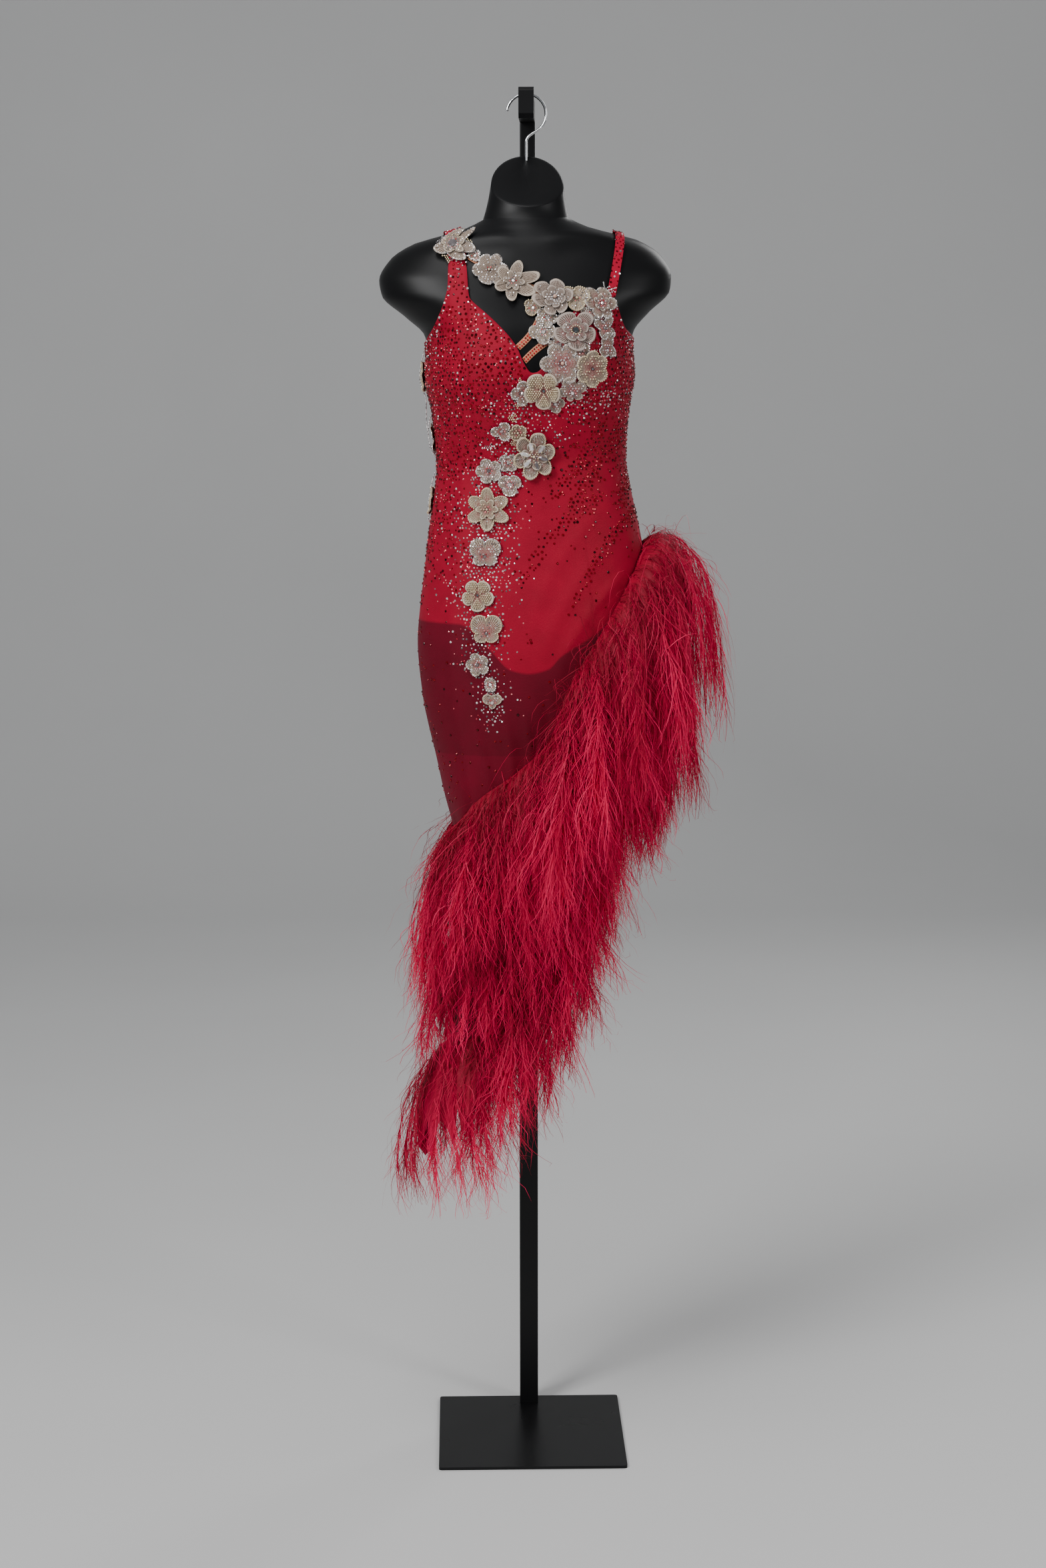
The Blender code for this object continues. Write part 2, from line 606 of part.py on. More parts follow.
def make_shoulder_strap(name, edges, front_end, material, hang):
    """Strap from the front edge over the ridge to the back edge; f runs from -1 to 1."""
    f = np.linspace(-1, 1, STRAP_ROWS + 1)[:, None]
    (front_a, ridge_a, back_a), (front_b, ridge_b, back_b) = edges
    share = np.linspace(0, 1, 3)[None, :]
    at_front, at_ridge, at_back = (a + (b - a) * share for a, b in
                                   ((front_a, front_b), (ridge_a, ridge_b), (back_a, back_b)))
    x = at_ridge + (np.where(f < 0, at_front, at_back) - at_ridge) * f * f
    peak = ridge(at_ridge)
    back_end = back_height(at_back) + STRAP_SEAM
    z = peak - (peak - np.where(f < 0, front_end, back_end)) * np.abs(f) ** 1.7
    turn = np.where(f < 0, turn_at(x, z), turn_at(x, z, back=True))
    turn = np.where(f == 0, np.sign(at_ridge) * pi / 2, turn)
    lift = np.full(z.shape, STRAP_FIT)
    return wall(name, layer(turn, z, lift), layer(turn, z, lift + WALL), material, hang)


def back_height(x):
    """Height of the open back's edge above the point at x."""
    z = np.full(np.shape(x), 1.43)
    for _ in range(40):
        z = 0.5 * z + 0.5 * back_edge(turn_at(x, z, back=True))
    return z


def make_band(name, start, end, width, under, material, hang):
    """Narrow band laid over the open front between two points."""
    start, end = np.array(start), np.array(end)
    along = (end - start) / np.linalg.norm(end - start)
    across = np.array([-along[1], along[0]]) * width / 2
    share = np.linspace(0, 1, BAND_STEPS + 1)[:, None]
    middle = start + (end - start) * share
    grid = np.stack([middle + across, middle - across], axis=0)
    x, z = grid[..., 0], grid[..., 1]
    turn = turn_at(x, z)
    lift = np.full(z.shape, CLOSE_FIT)
    inner, outer = layer(turn, z, lift), layer(turn, z, lift + WALL)
    samples = [*inner.reshape(-1, 3), *inner.mean(axis=0)]
    normal = outward(turn, z).mean(axis=(0, 1))
    inner, outer = sewn_on([inner, outer], samples, normal / np.linalg.norm(normal), under)
    return wall(name, inner, outer, material, hang)


def make_brief(name, middle_turn, material, hang):
    """Half of the brief: from below the waist to the leg line."""
    turns = middle_turn + np.linspace(-pi / 2, pi / 2, BRIEF_COLUMNS)
    bottom = reach_line(turns, BRIEF_EDGE)
    z = BRIEF_TOP + (bottom - BRIEF_TOP) * np.linspace(0, 1, BRIEF_ROWS + 1)[:, None]
    turn = turns + 0 * z
    lift = np.full(z.shape, BRIEF_FIT)
    shift = np.array([0, -SEAM / 2 * cos(middle_turn), 0])
    wall(name, layer(turn, z, lift) + shift, layer(turn, z, lift + BRIEF_WALL) + shift, material, hang)


def tangent_frame(turn, z):
    """Steps in turn and height for a step to the right and a step up along the body's surface."""
    small = 1e-4
    around = (body(turn + small, z) - body(turn - small, z)) / (2 * small)
    up = (body(turn, z + small) - body(turn, z - small)) / (2 * small)
    normal = outward(turn, z)
    right = np.cross([0, 0, 1], -normal)
    right = right / np.linalg.norm(right)
    rise = np.cross(right, -normal)
    return np.linalg.pinv(np.stack([around, up], axis=1)) @ np.stack([right, rise], axis=1)


def make_applique(name, turn, z, radius, petals, notch, spin, under, material, hang):
    """Petalled patch of lace that follows the body: a middle point, a half-way ring and a rim."""
    rim_count = petals * RIM_PER_PETAL
    angle = np.arange(rim_count) * 2 * pi / rim_count
    lobe = np.abs(np.cos(petals * angle / 2)) ** 0.7
    rim = radius * (1 - notch * (1 - lobe))
    angle = angle + radians(spin)
    half_way = 0.55 * rim[::2]
    ring = np.concatenate([[0.0], half_way, rim])
    around = np.concatenate([[0.0], angle[::2], angle])
    steps = tangent_frame(turn, z) @ np.stack([ring * np.cos(around), ring * np.sin(around)])
    turns, heights = turn + steps[0], z + steps[1]
    base = fit(heights) + WALL
    crown = LACE_CROWN * (1 - (ring / radius) ** 2)
    inner = layer(turns, heights, base)
    outer = layer(turns, heights, base + LACE_THICK + crown)
    mid = rim_count // 2
    faces = [(0, 1 + k, 1 + (k + 1) % mid) for k in range(mid)]
    first = 1 + mid
    for k in range(mid):
        a, b = 1 + k, 1 + (k + 1) % mid
        c, d, e = first + 2 * k, first + 2 * k + 1, first + (2 * k + 2) % rim_count
        faces += [(a, c, d), (a, d, b), (b, d, e)]
    samples = [*inner, *(inner[list(face)].mean(axis=0) for face in faces)]
    samples += [(inner[first + k] + inner[first + (k + 1) % rim_count]) / 2 for k in range(rim_count)]
    inner, outer = sewn_on([inner, outer], samples, outward(turn, z), under)
    count = first + rim_count
    back = [tuple(v + count for v in reversed(face)) for face in faces]
    edge = [(first + (k + 1) % rim_count, first + k, first + k + count, first + (k + 1) % rim_count + count)
            for k in range(rim_count)]
    return add(name, np.concatenate([outer, inner]), faces + back + edge, material, hang)


def strip_drop(turns, z, tree):
    """How far each corner of a strip sinks until the stretches beside it lie just over the cloth."""
    lowest = np.full(len(turns), np.inf)
    for height in (z - STRIP_HEIGHT / 2, z, z + STRIP_HEIGHT / 2):
        corners = layer(turns, height, fit(height) + WALL)
        normals = outward(turns, height)
        for share in np.arange(4) / 4:
            between = corners + share * (np.roll(corners, -1, axis=0) - corners)
            ways = normals + share * (np.roll(normals, -1, axis=0) - normals)
            ways = ways / np.linalg.norm(ways, axis=-1, keepdims=True)
            over = [height_over(tree, point, way) for point, way in zip(between, ways)]
            lowest = np.minimum(lowest, over)
    return (np.minimum(lowest, np.roll(lowest, 1)) - STRIP_GAP)[:, None]


def make_feathers(name, line, locks, lengths, reaches, pole_gap, under, material, hang):
    """Three-sided strip round the skirt with a three-sided lock grown from each of its segments.

    No corner of the strip lies over the open side seams, at a quarter turn each way.
    """
    turns = (np.arange(locks) + 0.5) * 2 * pi / locks
    z = reach_line(turns, line)
    drop = strip_drop(turns, z, faces_of(under))

    def row(height, thick):
        return layer(turns, height, fit(height) + WALL + thick) - drop * outward(turns, height)

    points = [*row(z - STRIP_HEIGHT / 2, 0), *row(z + STRIP_HEIGHT / 2, 0),
              *row(z + STRIP_HEIGHT / 4, STRIP_THICK)]
    faces = []
    for k in range(locks):
        n = (k + 1) % locks
        faces += [(k, n, n + locks, k + locks), (k + locks, n + locks, n + 2 * locks, k + 2 * locks),
                  (k, k + 2 * locks, n + 2 * locks)]
        root = (k, n + 2 * locks, n)
        turn = turns[k] + pi / locks
        corners = np.array([points[v] for v in root])
        rings, tip = lock_points(k, turn, z[k], corners, lengths, reaches, pole_gap)
        start = len(points)
        points += [*np.concatenate(rings), tip]
        loops = [root, *(tuple(start + 3 * r + c for c in range(3)) for r in range(len(rings)))]
        for before, after in zip(loops[:-1], loops[1:]):
            faces += [(before[c], before[(c + 1) % 3], after[(c + 1) % 3], after[c]) for c in range(3)]
        faces += [(loops[-1][c], loops[-1][(c + 1) % 3], len(points) - 1) for c in range(3)]
    add(name, points, faces, material, hang)


def lock_points(number, turn, z, corners, lengths, reaches, pole_gap):
    """Rings and tip of one lock, which springs out from the strip and then falls."""
    root = corners.mean(axis=0)
    out = outward(turn, z)
    out = np.array([out[0], out[1], 0.0])
    out = out / np.linalg.norm(out)
    beside = np.array([-out[1], out[0], 0.0])
    side = (1 + sin(turn)) / 2
    length = (lengths[0] + (lengths[1] - lengths[0]) * side) * (1 + 0.10 * sin(7.1 * number))
    reach = (reaches[0] + (reaches[1] - reaches[0]) * side) * (1 + 0.10 * sin(4.3 * number + 1))
    if out[1] > 0:
        room = POLE_FACE - pole_gap - root[1]
        free = float(soft_step(abs(root[0]), 0.038, 0.075))
        reach = min(reach, room + (reach - room) * free) if room < reach else reach
    sway = LOCK_SWAY * sin(3 * turn + z * 9)
    power = LOCK_DROP[0] + (LOCK_DROP[1] - LOCK_DROP[0]) * side
    rise = LOCK_RISE * length * side ** 4

    def centre(share):
        spring = 1 - (1 - share) ** 2.2
        drop = length * share ** power - rise * sin(pi * share)
        return root + out * reach * spring - np.array([0, 0, drop]) + beside * sway * share ** 2

    rings = [centre(share) + (corners - root) * size for share, size in zip(LOCK_SHARES, LOCK_SIZES)]
    return rings, centre(1.0)


def main():
    for old in list(bpy.data.objects):
        bpy.data.objects.remove(old, do_unlink=True)
    red_mesh = finish("red_stretch_mesh", 0.55, (0.52, 0.006, 0.03))
    red_lining = finish("red_lining", 0.6, (0.62, 0.01, 0.04))
    nude = finish("nude_elastic", 0.6, (0.72, 0.36, 0.20))
    lace = finish("beaded_lace", 0.45, (0.72, 0.64, 0.55))
    feather = finish("ostrich_feather", 0.7, (0.62, 0.01, 0.06))
    black_plastic = finish("black_form_plastic", 0.42, (0.012, 0.012, 0.013))
    black_steel = finish("black_steel", 0.35, (0.015, 0.015, 0.016), 0.6)
    gloss_black = finish("gloss_black_plate", 0.15, (0.01, 0.01, 0.01), 0.3)
    chrome = finish("chrome_wire", 0.12, (0.8, 0.8, 0.8), 1.0)

    make_stand(black_steel, gloss_black)
    head = empty("stand_head", (0, POLE_Y, 0), (0, 0, ARM_TURN))
    make_arm(head, black_steel)
    make_hook(head, chrome)
    hook = (HOOK_REACH * sin(ARM_TURN), POLE_Y - HOOK_REACH * cos(ARM_TURN))
    pivot = (hook[0], hook[1], HANG_HEIGHT)
    hang = empty("hang", pivot, (0, LEAN, TURN))
    body_frame = empty("body_frame", (HANG_SHIFT[0], HANG_SHIFT[1], -HANG_HEIGHT), (0, 0, 0))
    body_frame.parent = hang
    form = make_form(body_frame, black_plastic)
    cloth = [make_front(body_frame, red_mesh), make_back(body_frame, red_mesh)]
    straps = [make_shoulder_strap("left_strap", LEFT_STRAP, 1.6030 + SEAM, red_mesh, body_frame),
              make_shoulder_strap("right_strap", RIGHT_STRAP, 1.5516 + SEAM, red_mesh, body_frame)]
    placed = [form, *cloth, *straps]
    for name, (start, end, width) in BANDS.items():
        placed.append(make_band(name, start, end, width, placed, nude, body_frame))
    make_brief("brief_front", 0.0, red_lining, body_frame)
    make_brief("brief_back", pi, red_lining, body_frame)
    for name in sorted(APPLIQUES, key=lambda name: APPLIQUES[name][-1]):
        x, z, radius, petals, notch, spin = APPLIQUES[name][:-1]
        turn = float(turn_at(np.array(x), np.array(z)))
        placed.append(make_applique(name, turn, z, radius, petals, notch, spin, placed, lace, body_frame))
    for name, (turn, z, radius, petals, notch) in SIDE_LACE.items():
        make_applique(name, radians(turn), z, radius, petals, notch, 0, cloth, lace, body_frame)
    for name, (line, locks, lengths, reaches, pole_gap) in STRIPS.items():
        make_feathers(name, line, locks, lengths, reaches, pole_gap, cloth, feather, body_frame)


main()
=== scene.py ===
"""Looks of a red ballroom dance dress that hangs on a black dress form and its stand.

Metres, +Z up, the front faces -Y. Cloth, lace, stones and feathers are worked out in the form's own
frame, whose axis is x = y = 0, and world() then hangs them as the form hangs.
"""
from math import cos, pi, radians, sin

import bpy
import numpy as np
from mathutils import Matrix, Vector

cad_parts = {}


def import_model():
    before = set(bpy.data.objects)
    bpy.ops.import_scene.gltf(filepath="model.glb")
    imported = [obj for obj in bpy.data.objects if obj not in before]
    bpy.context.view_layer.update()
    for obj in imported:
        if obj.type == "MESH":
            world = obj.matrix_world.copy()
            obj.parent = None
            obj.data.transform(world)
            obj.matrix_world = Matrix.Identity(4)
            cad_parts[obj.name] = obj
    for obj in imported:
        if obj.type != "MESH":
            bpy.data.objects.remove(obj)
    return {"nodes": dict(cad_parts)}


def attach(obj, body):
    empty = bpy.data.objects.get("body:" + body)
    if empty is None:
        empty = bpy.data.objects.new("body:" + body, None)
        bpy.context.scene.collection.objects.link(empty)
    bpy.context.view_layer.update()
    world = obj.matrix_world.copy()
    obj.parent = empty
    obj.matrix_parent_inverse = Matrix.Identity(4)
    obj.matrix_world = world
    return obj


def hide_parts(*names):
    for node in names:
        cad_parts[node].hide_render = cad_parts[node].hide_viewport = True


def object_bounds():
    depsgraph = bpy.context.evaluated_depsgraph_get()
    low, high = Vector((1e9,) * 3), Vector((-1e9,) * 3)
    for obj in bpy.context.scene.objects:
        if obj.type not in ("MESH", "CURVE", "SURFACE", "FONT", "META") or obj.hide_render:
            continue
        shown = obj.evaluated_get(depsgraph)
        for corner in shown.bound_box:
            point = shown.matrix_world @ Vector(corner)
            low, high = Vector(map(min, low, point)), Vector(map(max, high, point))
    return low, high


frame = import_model()
CAD_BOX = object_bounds()
BODY = "root"
MM = 0.001
# Rows of a triangular grid, apart by this share of its pitch
ROW_PITCH = 0.866

# The form's frame on its hook: the pole's middle, the arm's turn and reach, the form's shift and height on
# the hook, its lean and turn, and the pole's front face
POLE_Y = 0.110
ARM_TURN = radians(-2.6)
HOOK_REACH = 0.070
HANG_SHIFT = (-0.0028, -0.046)
HANG_HEIGHT = 1.720
LEAN = radians(-1.0)
TURN = radians(1.5)
POLE_FACE = 0.103

# Body sections, top to bottom: the middle is shifted to +X, and square 2 is an ellipse
SECTION_COLUMNS = ("height", "half", "front", "back", "middle", "square")
SECTIONS = (
    (1.6550, 0.0558, 0.040, 0.055, -0.0010, 2.0),
    (1.6480, 0.0698, 0.046, 0.058, -0.0010, 2.0),
    (1.6415, 0.0864, 0.050, 0.061, -0.0010, 2.0),
    (1.6347, 0.1134, 0.055, 0.064, -0.0015, 2.0),
    (1.6253, 0.1462, 0.061, 0.067, -0.0020, 2.1),
    (1.6064, 0.1750, 0.069, 0.072, -0.0030, 2.3),
    (1.5800, 0.1895, 0.079, 0.077, -0.0035, 2.5),
    (1.5608, 0.1870, 0.085, 0.080, -0.0030, 2.5),
    (1.5323, 0.1575, 0.092, 0.083, -0.0020, 2.4),
    (1.5090, 0.1360, 0.097, 0.084, 0.0000, 2.3),
    (1.4860, 0.1312, 0.099, 0.084, 0.0000, 2.3),
    (1.4572, 0.1330, 0.098, 0.083, 0.0000, 2.3),
    (1.4050, 0.1245, 0.090, 0.077, 0.0000, 2.3),
    (1.3440, 0.1197, 0.080, 0.070, 0.0000, 2.2),
    (1.2830, 0.1283, 0.083, 0.074, 0.0015, 2.2),
    (1.2477, 0.1352, 0.086, 0.079, 0.0020, 2.2),
    (1.1947, 0.1431, 0.091, 0.086, 0.0030, 2.2),
    (1.1598, 0.1484, 0.094, 0.089, 0.0030, 2.2),
    (1.1065, 0.1534, 0.096, 0.090, 0.0030, 2.2),
    (1.0349, 0.1480, 0.092, 0.087, 0.0030, 2.2),
    (0.9990, 0.1417, 0.088, 0.084, 0.0030, 2.2),
    (0.9665, 0.1345, 0.083, 0.080, 0.0030, 2.2),
    (0.9086, 0.1230, 0.075, 0.071, 0.0030, 2.1),
    (0.8449, 0.1070, 0.065, 0.061, 0.0030, 2.0),
    (0.7600, 0.0965, 0.056, 0.052, -0.0120, 2.0),
    (0.6600, 0.0825, 0.047, 0.043, -0.0300, 2.0),
    (0.5500, 0.0640, 0.038, 0.035, -0.0560, 2.0),
)
FORM_BOTTOM = 0.9665
FORM_ROUNDING = 0.006
BUST_HEIGHT, BUST_APART, BUST_DEPTH = 1.462, 0.066, 0.022
BUST_SPREAD = (0.042, 0.048)
NECK_HALF, NECK_SHIFT, NECK_FRONT, NECK_BACK = 0.0470, 0.0015, 0.036, 0.054
CUT_LOW, CUT_HIGH = 1.669, 1.738
NECK_HOLLOW = 0.018
# Steps over which the surface's normal is taken
TURN_STEP, RISE_STEP = 0.004, 0.0015

# Cloth
WALL = 0.0012
CLOTH = 0.0007
CLOSE_FIT, HIP_FIT, FIT_CHANGE = 0.0030, 0.0038, (1.33, 1.42)
STRAP_FIT = 0.0030
STRAP_FOOT = 1.600
SEAM = 0.0004
WAIST, EASE_TOP = 1.344, 1.45
SKIRT_WAVES, WAVE_DEPTH, WAVE_RUN = 7, 0.004, 0.15
BACK_LOW, BACK_HIGH = 1.3700, 1.4970
HEM_LINE = ((-0.120, 0.550), (-0.070, 0.580), (-0.035, 0.632), (0.010, 0.715), (0.050, 0.840),
            (0.090, 0.940), (0.150, 1.020))
BRIEF_EDGE = ((-0.155, 1.140), (-0.100, 1.139), (-0.065, 1.110), (-0.036, 1.080), (-0.012, 1.075),
              (0.012, 1.080), (0.028, 1.096), (0.080, 1.128), (0.123, 1.183), (0.155, 1.205))
FRONT_EDGE = (
    (-0.1400, 1.4970), (-0.1322, 1.5010), (-0.1300, 1.5060), (-0.1265, 1.5140), (-0.1178, 1.5310),
    (-0.1105, 1.5490), (-0.1052, 1.5680), (-0.1040, 1.6030), (-0.0926, 1.6030), (-0.0812, 1.6030),
    (-0.0800, 1.5560), (-0.0760, 1.5500), (-0.0534, 1.5295), (-0.0334, 1.5084), (-0.0215, 1.4918),
    (-0.0135, 1.4715), (-0.0051, 1.4590), (0.0070, 1.4610), (0.0190, 1.4800), (0.0260, 1.5020),
    (0.0420, 1.5260), (0.0620, 1.5430), (0.0820, 1.5500), (0.0942, 1.5516), (0.1054, 1.5516),
    (0.1115, 1.5290), (0.1178, 1.5140), (0.1265, 1.5060), (0.1317, 1.5010), (0.1400, 1.4970),
)
# Soft folds of the hung cloth: start and end (across, height), half width and height of the ridge
FOLDS = (
    (-0.052, 1.045, -0.040, 0.880, 0.0060, 0.0022),
    (-0.022, 1.030, -0.018, 0.900, 0.0050, 0.0018),
    (0.000, 1.060, 0.006, 0.930, 0.0060, -0.0014),
    (-0.082, 1.010, -0.066, 0.860, 0.0050, 0.0016),
    (0.020, 1.070, 0.118, 1.205, 0.0070, 0.0018),
    (0.000, 1.090, 0.105, 1.250, 0.0080, 0.0014),
    (-0.010, 1.140, 0.090, 1.290, 0.0075, 0.0012),
    (-0.110, 0.990, -0.090, 0.850, 0.0050, -0.0014),
    (0.030, 1.330, 0.105, 1.352, 0.0040, 0.0008),
    (0.025, 1.312, 0.108, 1.330, 0.0040, 0.0007),
)


def smooth(at, xs, ys):
    """Monotone cubic curve through the points (xs, ys), read at the values in at."""
    step = np.diff(xs)
    slope = np.diff(ys) / step
    product = slope[:-1] * slope[1:]
    safe = np.where(product > 0, slope[:-1] + slope[1:], 1.0)
    tangent = np.concatenate([slope[:1], np.where(product > 0, 2 * product / safe, 0.0), slope[-1:]])
    at = np.clip(at, xs[0], xs[-1])
    k = np.clip(np.searchsorted(xs, at) - 1, 0, len(step) - 1)
    t = (at - xs[k]) / step[k]
    start = (1 + 2 * t) * (1 - t) ** 2 * ys[k] + t * (1 - t) ** 2 * step[k] * tangent[k]
    end = t * t * (3 - 2 * t) * ys[k + 1] - t * t * (1 - t) * step[k] * tangent[k + 1]
    return start + end


SHAPE = dict(zip(SECTION_COLUMNS, np.array(SECTIONS)[::-1].T))


def section(name, z):
    """One measure of the body's section at the heights z."""
    return smooth(z, SHAPE["height"], SHAPE[name])


def soft_step(value, low, high):
    """0 below low, 1 above high and the cubic 3tt - 2ttt between them."""
    t = np.clip((value - low) / (high - low), 0.0, 1.0)
    return t * t * (3 - 2 * t)


def body(turn, z):
    """Superellipse of each height's section, with two bell-shaped mounds in front.

    Below the form the section is waved by a cosine of the turn.
    """
    half, middle, power = section("half", z), section("middle", z), 2 / section("square", z)
    across, along = np.sin(turn), np.cos(turn)
    x = half * np.sign(across) * np.abs(across) ** power
    round_off = np.abs(along) ** power
    mounds = sum(np.exp(-0.5 * ((x - side) / BUST_SPREAD[0]) ** 2) for side in (-BUST_APART, BUST_APART))
    bust = BUST_DEPTH * mounds * np.exp(-0.5 * ((z - BUST_HEIGHT) / BUST_SPREAD[1]) ** 2)
    y = np.where(along > 0, -(section("front", z) + bust) * round_off, section("back", z) * round_off)
    below = soft_step(FORM_BOTTOM - z, 0.0, WAVE_RUN)
    wave = 1 + below * WAVE_DEPTH / half * np.cos(SKIRT_WAVES * turn)
    return np.stack(np.broadcast_arrays(middle + x * wave, y * wave, z), axis=-1)


def outward(turn, z):
    """Unit normal: the cross product of a small step around and a small step up."""
    around = body(turn + TURN_STEP, z) - body(turn - TURN_STEP, z)
    up = body(turn, z + RISE_STEP) - body(turn, z - RISE_STEP)
    normal = np.cross(around, up)
    return normal / np.linalg.norm(normal, axis=-1, keepdims=True)


def layer(turn, z, lift):
    """Point at a distance from the body's surface."""
    return body(turn, z) + outward(turn, z) * np.asarray(lift)[..., None]


def turn_at(x, z):
    """Turn round the front of the body at which its section reaches x: the superellipse solved for it."""
    ratio = np.clip((x - section("middle", z)) / section("half", z), -1.0, 1.0)
    return np.arcsin(np.sign(ratio) * np.abs(ratio) ** (section("square", z) / 2))


def fit(z):
    """Distance of the cloth's inner face from the body: a soft step from the hips' to the bodice's."""
    return HIP_FIT + (CLOSE_FIT - HIP_FIT) * soft_step(z, *FIT_CHANGE)


def line_height(line, x):
    """Height at x of a line given by its points (x, height)."""
    table = np.array(line)
    return smooth(x, table[:, 0], table[:, 1])


def reach_line(turn, line):
    """Height at which the body at each turn meets a line drawn across the front, found by halving the gap."""
    start, rounds = 0.9, 40
    z = np.full(np.shape(turn), start)
    for _ in range(rounds):
        z = z + 0.5 * (line_height(line, body(turn, z)[..., 0]) - z)
    return z


def world(points):
    """Points of the form's frame, leaned about Y and turned about Z round the hook's foot."""
    lean = np.array([[cos(LEAN), 0, sin(LEAN)], [0, 1, 0], [-sin(LEAN), 0, cos(LEAN)]])
    turn = np.array([[cos(TURN), -sin(TURN), 0], [sin(TURN), cos(TURN), 0], [0, 0, 1]])
    pivot = np.array([HOOK_REACH * sin(ARM_TURN), POLE_Y - HOOK_REACH * cos(ARM_TURN), HANG_HEIGHT])
    return (points + [*HANG_SHIFT, -HANG_HEIGHT]) @ (turn @ lean).T + pivot


def unit(vectors):
    """Vectors brought to length 1."""
    return vectors / np.maximum(np.linalg.norm(vectors, axis=-1, keepdims=True), 1e-12)


def world_normals(turn, z):
    """Unit normals of the body as it hangs."""
    base = body(turn, z)
    return unit(world(base + outward(turn, z)) - world(base))


def side_turn(x, z):
    """The same as turn_at, for one place."""
    return float(turn_at(np.array(x), np.array(z)))


def read_points(mesh):
    """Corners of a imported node's mesh, as an array."""
    points = np.empty(3 * len(mesh.vertices), np.float32)
    mesh.vertices.foreach_get("co", points)
    return points.reshape(-1, 3).astype(float)


# Meshes -------------------------------------------------------------------------------------------

def piece(name, points, quads=None, tris=None, finish=None, instead=(), uv=None, values=None,
          soft=True):
    """Object at the origin from arrays: points, then faces of four and of three corners."""
    blocks = [np.asarray(f, np.int32) for f in (quads, tris) if f is not None and len(f)]
    corners = np.concatenate([block.ravel() for block in blocks])
    sizes = np.concatenate([np.full(len(block), block.shape[1]) for block in blocks])
    mesh = bpy.data.meshes.new(name)
    mesh.vertices.add(len(points))
    mesh.vertices.foreach_set("co", np.asarray(points, np.float32).ravel())
    mesh.loops.add(len(corners))
    mesh.loops.foreach_set("vertex_index", corners)
    mesh.polygons.add(len(sizes))
    mesh.polygons.foreach_set("loop_start", np.concatenate([[0], np.cumsum(sizes)[:-1]]).astype(np.int32))
    mesh.update(calc_edges=True)
    if uv is not None:
        layer_uv = mesh.uv_layers.new(name="cut")
        layer_uv.data.foreach_set("uv", np.asarray(uv, np.float32)[corners].ravel())
    for key, numbers in (values or {}).items():
        attribute = mesh.attributes.new(key, "FLOAT", "POINT")
        attribute.data.foreach_set("value", np.asarray(numbers, np.float32).ravel())
    mesh.polygons.foreach_set("use_smooth", np.full(len(sizes), soft))
    made = bpy.data.objects.new(name, mesh)
    bpy.context.scene.collection.objects.link(made)
    mesh.materials.append(finish.material)
    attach(made, BODY)
    if instead:
        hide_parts(*instead)
    return made


def grid_quads(rows, cols, closed=False, start=0):
    """Faces of a grid of points, rows by columns, joined round if closed."""
    grid = start + np.arange(rows * cols).reshape(rows, cols)
    ahead = np.roll(grid, -1, axis=1) if closed else grid[:, 1:]
    here = grid if closed else grid[:, :-1]
    return np.stack([here[:-1], here[1:], ahead[1:], ahead[:-1]], axis=-1).reshape(-1, 4)


def wall_faces(rows, cols):
    """Faces of a closed sheet: an outer grid, an inner grid behind it and the edge between them."""
    count = rows * cols
    grid = np.arange(count).reshape(rows, cols)
    quads = grid_quads(rows, cols)
    rim = np.concatenate([grid[0, :-1], grid[:-1, -1], grid[-1, :0:-1], grid[:0:-1, 0]])
    ahead = np.roll(rim, -1)
    edge = np.stack([rim, ahead, ahead + count, rim + count], axis=-1)
    return np.concatenate([quads, quads[:, ::-1] + count, edge])


def flat_area(points):
    """Area of a grid of points, two triangles a face."""
    a, b, c, d = points[:-1, :-1], points[1:, :-1], points[1:, 1:], points[:-1, 1:]
    first = np.linalg.norm(np.cross(b - a, c - a), axis=-1)
    return float((first + np.linalg.norm(np.cross(c - a, d - a), axis=-1)).sum() / 2)


def arc_lengths(points, axis):
    """Length along each row or column of a grid of points, up to each point."""
    step = np.linalg.norm(np.diff(points, axis=axis), axis=-1)
    pad = [(1, 0) if k == axis else (0, 0) for k in range(2)]
    return np.cumsum(np.pad(step, pad), axis=axis)


def run_along(points):
    """Length along a line of points, up to each point."""
    return np.concatenate([[0], np.cumsum(np.linalg.norm(np.diff(points, axis=0), axis=1))])


def ring_pairs(sides):
    """Numbers of a ring's points and of the point ahead of each."""
    here = np.arange(sides)
    return here, (here + 1) % sides


def sheet_piece(name, turn, z, lift, finish, instead, values=None, shift=0.0):
    """Thin closed shell of cloth whose inner face lies at lift from the body."""
    move = np.array([0, shift, 0])
    inner = world(layer(turn, z, lift) + move)
    outer = world(layer(turn, z, lift + CLOTH) + move)
    rows, cols = outer.shape[:2]
    across, down = arc_lengths(outer, 1), arc_lengths(outer, 0)
    uv = np.stack([across - across[:, cols // 2, None], -down], axis=-1).reshape(-1, 2)
    values = {key: np.tile(v.ravel(), 2) for key, v in (values or {}).items()}
    made = piece(name, np.concatenate([outer.reshape(-1, 3), inner.reshape(-1, 3)]), wall_faces(rows, cols),
                 finish=finish, instead=instead, uv=np.tile(uv, (2, 1)), values=values)
    size = (float(across[:, -1].max()), float(down[-1].max()))
    return made, size, flat_area((outer + inner) / 2)


